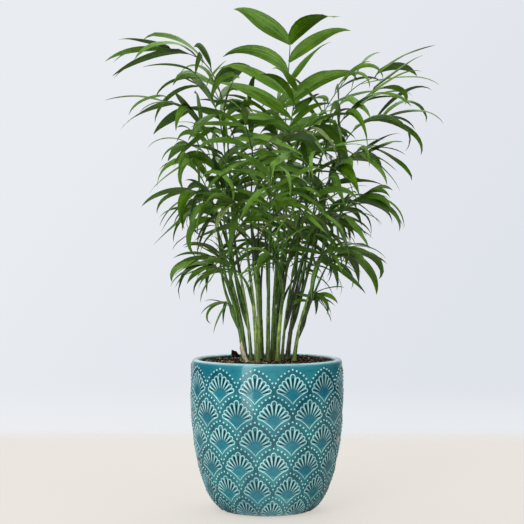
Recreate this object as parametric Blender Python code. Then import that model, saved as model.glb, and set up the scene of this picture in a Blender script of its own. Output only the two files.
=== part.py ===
"""A potted parlor palm: a glazed pot filled with potting mix, and a clump of slender stems whose long-stalked
feather fronds arch out on every side.

Metres, +Z up. The origin is the middle of the pot's flat underside. +X is the viewer's right, and -Y faces
the viewer.
"""

import math
import random
from collections import namedtuple

import bmesh
import bpy
from mathutils import Matrix, Vector
from mathutils.bvhtree import BVHTree

MM = 0.001
UP = Vector((0, 0, 1))
GOLDEN_ANGLE = math.radians(137.5)
CLEARANCE = 0.3 * MM  # between pieces that touch

# The pot: its wall is a quarter ellipse up to the belly, then draws in a little to the rim.
POT_HEIGHT = 177 * MM
BELLY_HEIGHT = 135 * MM
BELLY_RADIUS = 88.5 * MM
FOOT_RADIUS = 46 * MM
RIM_RADIUS = 87.5 * MM
POT_WALL = 8 * MM
POT_FLOOR = 10 * MM
LIP_RADIUS = 0.48 * POT_WALL
POT_SIDES = 36

# The potting mix: level round the stems, a little lower at the wall.
MIX_TOP = 173.5 * MM
MIX_EDGE = 171.5 * MM
MIX_LEVEL_RADIUS = 42 * MM

# The clump of stems
STEM_COUNT = 14
CLUMP_RADIUS = 33 * MM
STEM_RADIUS = 3.3 * MM
STEM_TIP_RADIUS = 1.9 * MM
STEM_FLARE = 1.3 * MM
STEM_FLARE_HEIGHT = 5 * MM
STEM_TALLEST = 118 * MM
STEM_SHORTEST = 74 * MM
STEM_LEAN = math.radians(13)
STEM_BEND = 0.6  # the share of the lean that comes with height
STEM_SIDES = 7
LEAF_BASES_PER_STEM = 4
LEAF_BASE_STEP = 0.15  # of the stem's height, from one leaf base down to the next
OUTERMOST_SLOPE = 0.75  # reach over rise of a frond that grows from an outermost stem

# The fronds: a bare stalk, then a rib with leaflets on both sides.
STALK_RADIUS = 1.45 * MM
RIB_TIP_RADIUS = 0.85 * MM
STALK_SHARE = 0.54  # of the frond's length
STALK_ANGLE = math.radians(9)  # from the stem, where it leaves the side
STALK_PULL = 0.45  # how far the curve keeps to the stem's direction, as a share of its span
TIP_PULL = 0.33  # and to the tip's pitch
RIB_POINTS = 9
RIB_SIDES = 3
RIB_TURNS = (0, 4, -4, 8, -8, 12, -12, 17, -17, 22, -22)  # degrees about the pot, tried in turn

# The leaflets: thin keeled blades in pairs, which lean further forward towards the rib's tip.
FIRST_ANGLE = 54  # degrees from the rib, in the lowest pair
LAST_ANGLE = 22
ANGLE_SCATTER = 10
ROLL_SCATTER = 32
LIFT = (-0.05, 0.50)  # above the frond's plane, before they sag
PAIR_STAGGER = 0.25  # of the distance between pairs
LAST_PLACE = 0.99  # of the rib's length
END_SHORTER = 0.14  # how much the first and last leaflets fall short of the middle ones
END_BROADER = 1.4  # how much broader the last pair is
LEAFLET_THICKNESS = 0.02  # of the length
LEAFLET_ROOT = 0.15  # of its widest section, where it is sunk in the rib
OUTER_SHAPE = ((0.30, 1.0), (0.64, 0.80))  # share of the length, share of the width
INNER_SHAPE = ((0.42, 1.0),)
LEAFLET_TURNS = (0, 10, -10, 20, -20, 32, -32)  # degrees in the frond's plane, tried in turn
LEAFLET_STRETCHES = (1, 0.8)
LEAST_GAP = 0.5 * MM  # between leaflets of different fronds

Frond = namedtuple(
    "Frond",
    "name azimuth reach rise tip_pitch pairs leaflet sag slimness last_angle shape",
    defaults=(6.6, LAST_ANGLE, OUTER_SHAPE),
)
Leaflet = namedtuple("Leaflet", "root along face length width sag shape")
Rib = namedtuple("Rib", "points radii")


def fronds():
    """The fronds from the highest to the lowest. Azimuth is in degrees from +X; reach and rise, in mm, are
    those of the rib's tip from the pot's axis and the mix; the rib ends at the tip's pitch in degrees above
    level. Then come the pairs of leaflets, the longest leaflet in mm, how far leaflets sag as a share of
    their length, their length over their width, and the angle of the last pair from the rib."""
    return [
        Frond("top_frond", 64, 64, 380, 82, 5, 100, 0.46, 5.4, 34),
        Frond("left_top_frond", 176, 113, 362, -2, 5, 110, 0.46, 7, 18),
        Frond("right_top_frond", 8, 130, 334, 18, 5, 104, 0.40, 8),
        Frond("centre_frond", -38, 44, 314, 72, 6, 76, 0.22),
        Frond("left_tall_frond", 136, 90, 326, 56, 5, 80, 0.50),
        Frond("right_tall_frond", -18, 126, 308, 30, 6, 98, 0.50, 7),
        Frond("left_high_frond", 192, 118, 300, 10, 6, 88, 0.80),
        Frond("right_high_frond", 14, 142, 286, 4, 6, 98, 0.62, 7),
        *tier("high_frond", 6, 302, 94, (-50, 80, -106, 18, -142, 106), 38, 5, 86, 0.54),
        Frond("left_mid_frond", 166, 94, 254, 20, 6, 78, 0.70),
        Frond("right_mid_frond", -22, 124, 240, 2, 6, 78, 0.8, 6),
        *tier("upper_frond", 7, 232, 108, (-42, 64, -88, 120, 8, -146, 96), 28, 5, 82, 0.62),
        Frond("left_low_frond", 190, 86, 198, 0, 6, 74, 0.88),
        Frond("right_low_frond", -12, 122, 190, -4, 6, 72, 0.75),
        *tier("middle_frond", 7, 180, 100, (-62, 54, -112, 100, 146, 16, -26), 16, 6, 74, 0.68),
        Frond("right_foot_frond", 6, 98, 126, -10, 4, 70, 0.75, 6),
        Frond("left_foot_frond", 174, 72, 112, -6, 4, 68, 0.86, 6.2, 30),
        *tier("lower_frond", 6, 128, 84, (-36, 82, -132, 40, -86, 130), 14, 5, 66, 0.62),
        Frond("right_small_frond", -18, 58, 78, -10, 4, 44, 0.90),
        Frond("left_small_frond", 184, 50, 68, 0, 3, 42, 1.0, 8),
    ]


def tier(name, count, rise, reach, azimuths, tip_pitch, pairs, leaflet, sag):
    """Fronds of like height, each drawn a little longer or shorter than the one before."""
    draw = random.Random(name)
    return [
        Frond(
            f"{name}_{number + 1}",
            azimuths[number],
            reach * draw.uniform(0.82, 1.12),
            rise * draw.uniform(0.88, 1.10),
            tip_pitch + draw.uniform(-16, 20),
            pairs,
            leaflet * draw.uniform(0.92, 1.1),
            sag * draw.uniform(0.7, 1.25),
            shape=INNER_SHAPE,
        )
        for number in range(count)
    ]


def material(name, colour, roughness, coat=0.0):
    made = bpy.data.materials.new(name)
    made.use_nodes = True
    shader = made.node_tree.nodes["Principled BSDF"]
    shader.inputs["Base Color"].default_value = (*colour, 1)
    shader.inputs["Roughness"].default_value = roughness
    shader.inputs["Coat Weight"].default_value = coat
    made.diffuse_color = (*colour, 1)
    return made


def add_object(name, mesh, finish):
    mesh.materials.append(finish)
    made = bpy.data.objects.new(name, mesh)
    bpy.context.scene.collection.objects.link(made)
    return made


def turned(name, profile, finish):
    """A solid of revolution, from a profile that starts and ends on the axis."""
    bm = bmesh.new()
    points = [bm.verts.new((radius, 0, height)) for radius, height in profile]
    edges = [bm.edges.new(pair) for pair in zip(points, points[1:])]
    bmesh.ops.spin(
        bm, geom=points + edges, cent=(0, 0, 0), axis=UP, angle=math.tau, steps=POT_SIDES, use_merge=True
    )
    bmesh.ops.remove_doubles(bm, verts=bm.verts, dist=0.01 * MM)
    bmesh.ops.recalc_face_normals(bm, faces=bm.faces)
    mesh = bpy.data.meshes.new(name)
    bm.to_mesh(mesh)
    bm.free()
    mesh.shade_smooth()
    mesh.set_sharp_from_angle(angle=math.radians(40))
    return add_object(name, mesh, finish)


def wall_radius(height):
    """The outer radius of the pot at a height above its underside."""
    if height < BELLY_HEIGHT:
        drop = 1 - height / BELLY_HEIGHT
        return FOOT_RADIUS + (BELLY_RADIUS - FOOT_RADIUS) * math.sqrt(1 - drop * drop)
    climb = (height - BELLY_HEIGHT) / (POT_HEIGHT - BELLY_HEIGHT)
    return BELLY_RADIUS - (BELLY_RADIUS - RIM_RADIUS) * climb * climb


def inner_profile(gap):
    """Radius and height up the inside of the wall to the edge of the mix, held a gap clear of it."""
    heights = [POT_FLOOR + (MIX_EDGE - POT_FLOOR) * share for share in (0, 0.06, 0.16, 0.3, 0.5, 0.72, 1)]
    return [(wall_radius(height) - POT_WALL - gap, height) for height in heights]


def build_pot():
    """The outside from foot to rim, the rounded lip, and the inside down to a flat floor."""
    belly_steps = 8
    turns = [math.pi / 2 * step / belly_steps for step in range(belly_steps + 1)]
    heights = [BELLY_HEIGHT * (1 - math.cos(turn)) for turn in turns]
    heights += [0.5 * (BELLY_HEIGHT + POT_HEIGHT), POT_HEIGHT - LIP_RADIUS]
    outside = [(wall_radius(height), height) for height in heights]
    lip_middle = wall_radius(POT_HEIGHT) - LIP_RADIUS
    lip_inner = wall_radius(MIX_EDGE) - POT_WALL
    lip_angles = [math.radians(angle) for angle in (36, 72, 108, 144)]
    lip = [
        (lip_middle + LIP_RADIUS * math.cos(angle), POT_HEIGHT - LIP_RADIUS + LIP_RADIUS * math.sin(angle))
        for angle in lip_angles
    ]
    lip.append((lip_inner, POT_HEIGHT - LIP_RADIUS))
    inside = inner_profile(0)[::-1]
    glaze = material("teal_glaze", (0.03, 0.26, 0.31), 0.12, coat=0.6)
    return turned("pot", [(0, 0), *outside, *lip, *inside, (0, POT_FLOOR)], glaze)


def build_mix():
    """The potting mix, just clear of the pot's floor and wall."""
    floor, *wall = inner_profile(CLEARANCE)
    bottom = POT_FLOOR + CLEARANCE
    profile = [(0, bottom), (floor[0], bottom), *wall, (MIX_LEVEL_RADIUS, MIX_TOP), (0, MIX_TOP)]
    return turned("potting_mix", profile, material("potting_mix", (0.07, 0.042, 0.026), 0.95))


class Stem:
    """A stem of wrapped leaf bases: its foot, its lean and its taper."""

    def __init__(self, number):
        spread = math.sqrt((number + 0.5) / STEM_COUNT)
        azimuth = number * GOLDEN_ANGLE
        self.name = f"stem_{number + 1}"
        self.away = Vector((math.cos(azimuth), math.sin(azimuth), 0))
        self.foot = self.away * CLUMP_RADIUS * spread + UP * (MIX_TOP + CLEARANCE)
        self.height = STEM_TALLEST + (STEM_SHORTEST - STEM_TALLEST) * spread * spread
        self.run = self.height * math.tan(STEM_LEAN * spread)
        self.leaf_bases = list(range(LEAF_BASES_PER_STEM))

    def point(self, share):
        """A point on the axis. The foot rises upright, so its cut is level."""
        lean = (1 - STEM_BEND) * share + STEM_BEND * share * share
        return self.foot + self.away * self.run * lean + UP * self.height * share

    def radius(self, share):
        flare = STEM_FLARE * math.exp(-share * self.height / STEM_FLARE_HEIGHT)
        return STEM_RADIUS + (STEM_TIP_RADIUS - STEM_RADIUS) * share + flare

    def growth(self, share):
        """The way the stem points."""
        return (self.point(share + 0.01) - self.point(share - 0.01)).normalized()

    def leaf_base(self, order, azimuth):
        """Where a stalk starts, and which way: the youngest at the tip, older ones on the side below it."""
        if order == 0:
            return self.point(1) + self.growth(1) * CLEARANCE, self.growth(1)
        share = 1 - LEAF_BASE_STEP * order
        growth = self.growth(share)
        side = direction(azimuth)
        side = (side - growth * side.dot(growth)).normalized()
        way = growth * math.cos(STALK_ANGLE) + side * math.sin(STALK_ANGLE)
        inwards = max(-corner.dot(side) for corner in ring(Vector(), way, STALK_RADIUS, RIB_SIDES))
        return self.point(share) + side * (self.radius(share) + inwards + CLEARANCE), way

    def sections(self):
        shares = (0, 0.03, 0.08, 0.3, 0.55, 0.8, 1)
        levels = [UP, UP] + [self.growth(share) for share in shares[2:]]
        return [
            ring(self.point(share), level, self.radius(share), STEM_SIDES)
            for share, level in zip(shares, levels)
        ]


def direction(azimuth):
    return Vector((math.cos(azimuth), math.sin(azimuth), 0))


def ring(centre, normal, radius, sides):
    """A regular ring of points square to a direction, with its first point towards +X."""
    across = (Vector((1, 0, 0)) - normal * normal.x).normalized()
    other = normal.cross(across)
    angles = [math.tau * side / sides for side in range(sides)]
    return [centre + (across * math.cos(angle) + other * math.sin(angle)) * radius for angle in angles]


def skin(sections):
    """Points and faces of the closed solid through rings of points. A ring of one point is a tip."""
    points = [point for section in sections for point in section]
    faces = []
    start = 0
    for section, following in zip(sections, sections[1:]):
        sides = len(section)
        for side in range(sides):
            beside = (side + 1) % sides
            near = [start + side, start + beside]
            if len(following) == 1:
                faces.append((*near, start + sides))
            else:
                faces.append((*near, start + sides + beside, start + sides + side))
        start += sides
    faces.append(tuple(range(len(sections[0])))[::-1])
    if len(sections[-1]) > 1:
        faces.append(tuple(range(start, start + len(sections[-1]))))
    return points, faces


class Thicket:
    """What has grown so far, kept so that what grows later can stay clear of it."""

    def __init__(self):
        self.grown = []

    def add(self, owner, sections):
        """Keeps a solid, given as rings of points."""
        points, faces = skin(sections)
        self.grown.append((owner, *box_of(points), BVHTree.FromPolygons(points, faces)))

    def touches(self, sections, but_not=None):
        """Whether a solid would cross anything here that isn't its owner's."""
        points, faces = skin(sections)
        low, high = box_of(points)
        tree = BVHTree.FromPolygons(points, faces)
        return any(
            owner != but_not
            and all(low[axis] <= other_high[axis] and high[axis] >= other_low[axis] for axis in range(3))
            and tree.overlap(other)
            for owner, other_low, other_high, other in self.grown
        )


def box_of(points):
    low = [min(point[axis] for point in points) for axis in range(3)]
    high = [max(point[axis] for point in points) for axis in range(3)]
    return low, high


def rib_of(start, growth, frond, azimuth):
    """A frond's stalk and rib, as one cubic curve from its leaf base to its tip."""
    outward = direction(azimuth)
    tip = outward * frond.reach * MM + UP * (MIX_TOP + frond.rise * MM)
    pitch = math.radians(frond.tip_pitch)
    ending = outward * math.cos(pitch) + UP * math.sin(pitch)
    span = (tip - start).length
    first, last = start + growth * STALK_PULL * span, tip - ending * TIP_PULL * span
    shares = [step / (RIB_POINTS - 1) for step in range(RIB_POINTS)]
    points = [
        start * (1 - t) ** 3 + first * 3 * t * (1 - t) ** 2 + last * 3 * t * t * (1 - t) + tip * t**3
        for t in shares
    ]
    radii = [STALK_RADIUS + (RIB_TIP_RADIUS - STALK_RADIUS) * t for t in shares]
    return Rib(points, radii)


def rib_sections(rib, swell=0.0, skipped=0):
    """Three-cornered sections along a rib, swollen to test what it would touch."""
    points = rib.points[skipped:]
    radii = [radius + swell for radius in rib.radii[skipped:]]
    ways = [(ahead - behind).normalized() for behind, ahead in zip(points, points[1:])]
    normals = [ways[0], *[(one + other).normalized() for one, other in zip(ways, ways[1:])], ways[-1]]
    return [ring(point, normal, radius, RIB_SIDES) for point, normal, radius in zip(points, normals, radii)]


def nearest_stem(stems, frond):
    """The stem with a leaf base left whose foot lies nearest to the way that the frond goes. A frond that
    reaches far for its rise grows from the outside of the clump."""
    outwards = min(1, frond.reach / frond.rise / OUTERMOST_SLOPE)
    foot = direction(math.radians(frond.azimuth)) * CLUMP_RADIUS * outwards
    free = [stem for stem in stems if stem.leaf_bases]
    return min(free, key=lambda stem: (stem.foot - foot).xy.length)


def grow_rib(frond, stems, thicket):
    """A rib that starts at a leaf base and touches nothing, turned a little about the pot if it has to be."""
    stem = nearest_stem(stems, frond)
    order = stem.leaf_bases.pop(0)
    for turn in RIB_TURNS:
        azimuth = math.radians(frond.azimuth + turn)
        start, growth = stem.leaf_base(order, azimuth)
        rib = rib_of(start, growth, frond, azimuth)
        above_its_base = rib_sections(rib, LEAST_GAP, skipped=1)
        whole = rib_sections(rib, LEAST_GAP)
        if not thicket.touches(above_its_base) and not thicket.touches(whole, but_not=stem.name):
            break
    thicket.add(frond.name, rib_sections(rib))
    return rib


def place_on(rib, share):
    """The point at a share of a rib's length, and the way that the rib goes there."""
    place = min(share * (len(rib.points) - 1), len(rib.points) - 1.001)
    before = int(place)
    step = rib.points[before + 1] - rib.points[before]
    return rib.points[before] + step * (place - before), step.normalized()


def leaflet_sections(leaflet, swell=0.0):
    """Three-cornered sections of a keeled blade that sags along its length, up to its pointed tip."""

    def middle(share):
        sagged = leaflet.along * share - UP * leaflet.sag * share**2
        return leaflet.root + sagged * leaflet.length

    def section(share, half_width, keel):
        bend = leaflet.along.rotation_difference(leaflet.along - UP * 2 * leaflet.sag * share)
        across = bend @ leaflet.face.cross(leaflet.along).normalized()
        below = across.cross(bend @ leaflet.along)
        centre = middle(share)
        return [
            centre - across * (half_width + swell) - below * swell,
            centre + across * (half_width + swell) - below * swell,
            centre + below * (keel + swell),
        ]

    keel = LEAFLET_THICKNESS * leaflet.length
    body = [section(share, leaflet.width / 2 * wide, keel * wide) for share, wide in leaflet.shape]
    widest = middle(leaflet.shape[0][0])
    root = [leaflet.root + (corner - widest) * LEAFLET_ROOT for corner in body[0]]
    return [root, *body, [middle(1)]]


def leaflets_of(frond, rib):
    """The leaflets that a rib would bear, from the lowest pair to the pair at its tip."""
    draw = random.Random(frond.name)
    last = frond.pairs - 1
    found = []
    for pair in range(frond.pairs):
        forward = pair / last
        for side in (-1, 1):
            stagger = 0 if pair in (0, last) else side * PAIR_STAGGER / last
            root, onward = place_on(rib, STALK_SHARE + (LAST_PLACE - STALK_SHARE) * (forward + stagger))
            face = (UP - onward * onward.z).normalized()
            across = onward.cross(face) * side
            degrees = FIRST_ANGLE + (frond.last_angle - FIRST_ANGLE) * forward
            angle = math.radians(degrees + draw.uniform(-1, 1) * ANGLE_SCATTER)
            along = onward * math.cos(angle) + across * math.sin(angle) + face * draw.uniform(*LIFT)
            along.normalize()
            roll = Matrix.Rotation(math.radians(draw.uniform(-1, 1) * ROLL_SCATTER), 3, along)
            shorter = END_SHORTER * (2 * forward - 1) ** 2
            length = frond.leaflet * MM * (1 - shorter) * draw.uniform(0.88, 1.08)
            width = length / frond.slimness * (END_BROADER if pair == last else 1)
            sag = frond.sag * draw.uniform(0.7, 1.35)
            found.append(Leaflet(root, along, roll @ face, length, width, sag, frond.shape))
    return found


def grow_leaflet(leaflet, frond, thicket, blades):
    """The leaflet as it can grow clear of its neighbours: turned, shorter, or not at all. The blades of its
    own frond are kept without their roots, which may meet in the rib."""
    for turn in LEAFLET_TURNS:
        along = Matrix.Rotation(math.radians(turn), 3, leaflet.face) @ leaflet.along
        for stretch in LEAFLET_STRETCHES:
            tried = leaflet._replace(along=along, length=leaflet.length * stretch)
            blade = leaflet_sections(tried)
            swollen = leaflet_sections(tried, LEAST_GAP)
            if not blades.touches(blade[1:]) and not thicket.touches(swollen, but_not=frond.name):
                thicket.add(frond.name, blade)
                blades.add(frond.name, blade[1:])
                return tried
    return None


def solid(name, sections, finish):
    points, faces = skin(sections)
    mesh = bpy.data.meshes.new(name)
    mesh.from_pydata(points, [], faces)
    return add_object(name, mesh, finish)


def fuse(name, rib, leaflets, finish):
    """One solid of a rib and the leaflets that are sunk in it."""
    frond = solid(name, rib_sections(rib), finish)
    blades = bpy.data.collections.new(name + "_blades")
    bpy.context.scene.collection.children.link(blades)
    for leaflet in leaflets:
        blade = solid("blade", leaflet_sections(leaflet), finish)
        bpy.context.scene.collection.objects.unlink(blade)
        blades.objects.link(blade)
    union = frond.modifiers.new("blades", "BOOLEAN")
    union.operation = "UNION"
    union.operand_type = "COLLECTION"
    union.collection = blades
    union.solver = "EXACT"
    graph = bpy.context.evaluated_depsgraph_get()
    mesh = bpy.data.meshes.new_from_object(frond.evaluated_get(graph))
    frond.modifiers.clear()
    frond.data = mesh
    for blade in list(blades.objects):
        bpy.data.objects.remove(blade)
    bpy.data.collections.remove(blades)
    return frond


def build_palm():
    """Stems first, then every rib, then the leaflets, so that only leaflets have to give way."""
    stalk_green = material("stem_green", (0.13, 0.25, 0.05), 0.5)
    leaf_green = material("frond_green", (0.05, 0.16, 0.03), 0.4)
    thicket = Thicket()
    stems = [Stem(number) for number in range(STEM_COUNT)]
    for stem in stems:
        thicket.add(stem.name, stem.sections())
        solid(stem.name, stem.sections(), stalk_green).data.shade_smooth()
    ribs = [(frond, grow_rib(frond, stems, thicket)) for frond in fronds()]
    for frond, rib in ribs:
        blades = Thicket()
        leaflets = [grow_leaflet(leaflet, frond, thicket, blades) for leaflet in leaflets_of(frond, rib)]
        fuse(frond.name, rib, [leaflet for leaflet in leaflets if leaflet], leaf_green)


def main():
    for old in list(bpy.data.objects):
        bpy.data.objects.remove(old)
    build_pot()
    build_mix()
    build_palm()


main()
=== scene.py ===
"""A potted parlor palm in a pale studio: a glazed pot with raised fans, its potting mix, the slender stems
and the feather fronds, each made over the solid that carries it. Metres, +Z up, -Y towards the viewer.
"""

import math
import random
from collections import namedtuple

import bmesh
import bpy
import numpy as np
from mathutils import Matrix, Vector, noise
from mathutils.bvhtree import BVHTree


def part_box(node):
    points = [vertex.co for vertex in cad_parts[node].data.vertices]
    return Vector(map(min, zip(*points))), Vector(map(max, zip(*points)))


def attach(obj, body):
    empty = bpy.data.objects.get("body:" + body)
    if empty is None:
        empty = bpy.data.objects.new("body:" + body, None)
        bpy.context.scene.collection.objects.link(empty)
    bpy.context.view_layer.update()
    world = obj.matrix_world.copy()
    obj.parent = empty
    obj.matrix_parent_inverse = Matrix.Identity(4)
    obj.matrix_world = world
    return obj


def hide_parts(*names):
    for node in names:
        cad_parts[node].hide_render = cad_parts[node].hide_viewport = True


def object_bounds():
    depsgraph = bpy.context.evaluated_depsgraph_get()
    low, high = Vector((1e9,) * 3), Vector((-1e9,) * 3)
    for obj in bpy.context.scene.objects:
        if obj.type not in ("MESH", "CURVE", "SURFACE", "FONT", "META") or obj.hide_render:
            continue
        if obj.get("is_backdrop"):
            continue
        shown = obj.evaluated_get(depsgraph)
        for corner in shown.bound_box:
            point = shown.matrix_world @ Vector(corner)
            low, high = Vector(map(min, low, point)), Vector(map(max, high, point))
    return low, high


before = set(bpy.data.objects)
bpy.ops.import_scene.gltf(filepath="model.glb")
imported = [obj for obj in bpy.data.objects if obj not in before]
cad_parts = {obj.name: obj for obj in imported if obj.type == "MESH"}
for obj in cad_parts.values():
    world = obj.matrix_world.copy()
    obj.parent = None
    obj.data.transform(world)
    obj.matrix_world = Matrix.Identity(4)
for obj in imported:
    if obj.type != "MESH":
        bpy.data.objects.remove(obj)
solid_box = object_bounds()

# The studio. A pale paper floor that ends in a soft haze before a cooler pale wall. A large soft lamp stands
# high on the left with a strip below it, a weak one on the right and one behind, under a pale sky. The viewer
# stands 1.7 m away, a little above the rim.
UP = Vector((0, 0, 1))
EYE = Vector((0, -1.70, 0.31))
AIM = Vector((-0.0058, 0, 0.2893))
LENS = 100  # mm
LAMPS = (  # name, place, width, height, watts
    ("lamp_left", (-0.70, -1.56, 1.55), 1.0, 1.0, 16),
    ("strip_left", (-0.75, -1.36, 0.35), 0.45, 1.1, 5),
    ("lamp_right", (1.5, -1.2, 1.3), 0.8, 0.8, 2),
    ("lamp_behind", (0.5, 1.1, 2.0), 1.2, 1.2, 11),
)
FLOOR_DEPTH = (0.56, 0.76)  # from the pot, where the floor starts to fade and where it has gone
FLOOR_REACH = (1.20, 1.60)  # and to the sides
FLOOR_SIDES = (0.40, 0.85)  # how squarely to a side of the pot it has to lie to be dimmed, and to be darkest
FLOOR_COLOUR = (0.182, 0.172, 0.161)
FLOOR_GLOW = (0.556, 0.527, 0.492)  # of the light under the paper
PAPER_GRAIN = 900  # lumps a metre
PAPER_DARKER = 0.97
BLACK = (0, 0, 0)
WALL_LEFT = (0.815, 0.840, 0.880)
WALL_RIGHT = (0.740, 0.772, 0.825)
WALL_HAZE = (0.880, 0.890, 0.900)  # where the floor ends
WALL_SPREAD = 0.18  # of the way to either side, over which the wall's colour changes
WALL_SLANT = 2.0  # how much further to the right it changes higher up
HAZE_LEVEL = -0.125  # how steeply down the haze is seen
HAZE_REACH = 0.035  # how far it spreads above and below
HAZE_FRONT = (0.6, 0.9)  # how far ahead one has to look to see it start, and to see it in full
HAZE_SHARE = 0.5  # of its colour in the wall's
SKY_COLOUR = (0.97, 0.98, 1.0)
SKY_LOW = 0.50  # its strength at the level of the pot
SKY_HIGH = 1.32  # and overhead
SKY_CLIMB = (-0.1, 0.7)  # how far up each is
SKY_SIDES = (0.35, 0.80)  # how far to a side it starts to dim, and is darkest
SKY_ACROSS = (-0.4, 0.4)  # from left to right, over which it weakens
SIDES_DIMMED = 0.93  # how much darker the studio is on both sides of the pot
LEFT_STRONGER = 1.10
RIGHT_WEAKER = 0.70

scene = bpy.context.scene


def aimed(name, data, place):
    """A lamp or camera turned towards the palm."""
    made = bpy.data.objects.new(name, data)
    made.location = place
    made.rotation_mode = "QUATERNION"
    made.rotation_quaternion = (AIM - made.location).to_track_quat("-Z", "Y")
    scene.collection.objects.link(made)
    return made


scene.view_settings.view_transform = "Standard"
scene.camera = aimed("camera", bpy.data.cameras.new("camera"), EYE)
scene.camera.data.lens = LENS
for name, place, width, height, watts in LAMPS:
    lamp = aimed(name, bpy.data.lights.new(name, "AREA"), place).data
    lamp.shape = "RECTANGLE"
    lamp.size = width
    lamp.size_y = height
    lamp.energy = watts


class Shade:
    """A node's output. The operators on it add Math nodes, and node() adds a node of any other kind."""

    def __init__(self, tree, socket):
        self.tree = tree
        self.socket = socket

    def node(self, kind, values=(), output=0, **settings):
        """Adds a node, makes its settings and then gives its sockets their values or links."""
        made = self.tree.nodes.new(kind)
        for name, setting in settings.items():
            setattr(made, name, setting)
        for name, value in dict(values).items():
            if isinstance(value, Shade):
                self.tree.links.new(value.socket, made.inputs[name])
            else:
                made.inputs[name].default_value = value
        return Shade(self.tree, made.outputs[output])

    def maths(self, operation, *others):
        """A Math node on this value and as many others as its operation takes."""
        return self.node("ShaderNodeMath", dict(enumerate((self, *others))), operation=operation)

    def __add__(self, other):
        return self.maths("ADD", other)

    __radd__ = __add__

    def __mul__(self, other):
        return self.maths("MULTIPLY", other)

    __rmul__ = __mul__

    def __sub__(self, other):
        return self.maths("SUBTRACT", other)

    def __rsub__(self, other):
        return self * -1 + other

    def __truediv__(self, other):
        return self.maths("DIVIDE", other)

    def size(self):
        """The value without its sign."""
        return self.maths("ABSOLUTE")

    def diagonal(self, other):
        """The length of a line that goes so far one way and so far square to it."""
        return (self * self + other * other).maths("SQRT")

    def part(self, axis):
        """One coordinate of a point: 0, 1 or 2."""
        return self.node("ShaderNodeSeparateXYZ", {0: self}, output=axis)

    def rise(self, low, high):
        """A smooth step from 0 to 1 between two values."""
        ends = {"Value": self, "From Min": low, "From Max": high}
        return self.node("ShaderNodeMapRange", ends, interpolation_type="SMOOTHSTEP")

    def grain(self, scale, detail=3.0, rough=0.55):
        """Noise from 0 to 1 at this point, with so many lumps a metre."""
        values = {"Vector": self, "Scale": scale, "Detail": detail, "Roughness": rough}
        return self.node("ShaderNodeTexNoise", values)

    def tint(self, low, high):
        """A colour between two others, at 0 and at 1."""
        ends = {key: end if isinstance(end, Shade) else (*end, 1) for key, end in ((6, low), (7, high))}
        return self.node("ShaderNodeMix", {0: self, **ends}, output=2, data_type="RGBA", clamp_factor=True)

    def bump(self, strength, distance):
        """The surface's normal where it stands up by this height."""
        return self.node("ShaderNodeBump", {"Height": self, "Strength": strength, "Distance": distance})


def finish(name, **constants):
    """A material whose shader sockets hold these constants, and the shader's point on the object."""
    made = bpy.data.materials.new(name)
    made.use_nodes = True
    shader = made.node_tree.nodes["Principled BSDF"]
    for socket, value in constants.items():
        shader.inputs[socket.replace("_", " ")].default_value = value
    place = made.node_tree.nodes.new("ShaderNodeTexCoord").outputs["Object"]
    return made, Shade(made.node_tree, place)


def feed(material, **shades):
    """Links shades to the sockets of a material's shader."""
    shader = material.node_tree.nodes["Principled BSDF"]
    for socket, shade in shades.items():
        material.node_tree.links.new(shade.socket, shader.inputs[socket.replace("_", " ")])


def add_piece(name, source, material, smooth=True, crease=None):
    """An object at the origin from a bmesh or a mesh, smooth up to edges that bend by its crease."""
    mesh = source
    if isinstance(source, bmesh.types.BMesh):
        mesh = bpy.data.meshes.new(name)
        source.to_mesh(mesh)
        source.free()
    mesh.name = name
    mesh.materials.append(material)
    if smooth:
        mesh.shade_smooth()
    if crease:
        mesh.set_sharp_from_angle(angle=math.radians(crease))
    piece = bpy.data.objects.new(name, mesh)
    scene.collection.objects.link(piece)
    return piece


world = bpy.data.worlds.new("wall_and_sky")
world.use_nodes = True
view = Shade(world.node_tree, world.node_tree.nodes.new("ShaderNodeTexCoord").outputs["Generated"])
right, ahead, upwards = [view.part(axis) for axis in range(3)]
wall = ((right + WALL_SPREAD) / (2 * WALL_SPREAD) - upwards * WALL_SLANT).tint(WALL_LEFT, WALL_RIGHT)
haze = (1 - (upwards - HAZE_LEVEL).size().rise(0, HAZE_REACH)) * ahead.rise(*HAZE_FRONT)
wall = (haze * HAZE_SHARE).tint(wall, WALL_HAZE)
lift = upwards.rise(*SKY_CLIMB)
strength = lift * (SKY_HIGH - SKY_LOW) + SKY_LOW
strength = strength * (1 - right.size().rise(*SKY_SIDES) * (1 - lift) * SIDES_DIMMED)
strength = strength * (LEFT_STRONGER - right.rise(*SKY_ACROSS) * (LEFT_STRONGER - RIGHT_WEAKER))
seen = view.node("ShaderNodeLightPath")
background = world.node_tree.nodes["Background"].inputs
world.node_tree.links.new(seen.tint(SKY_COLOUR, wall).socket, background["Color"])
world.node_tree.links.new((strength + seen * (1 - strength)).socket, background["Strength"])
scene.world = world

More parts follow.
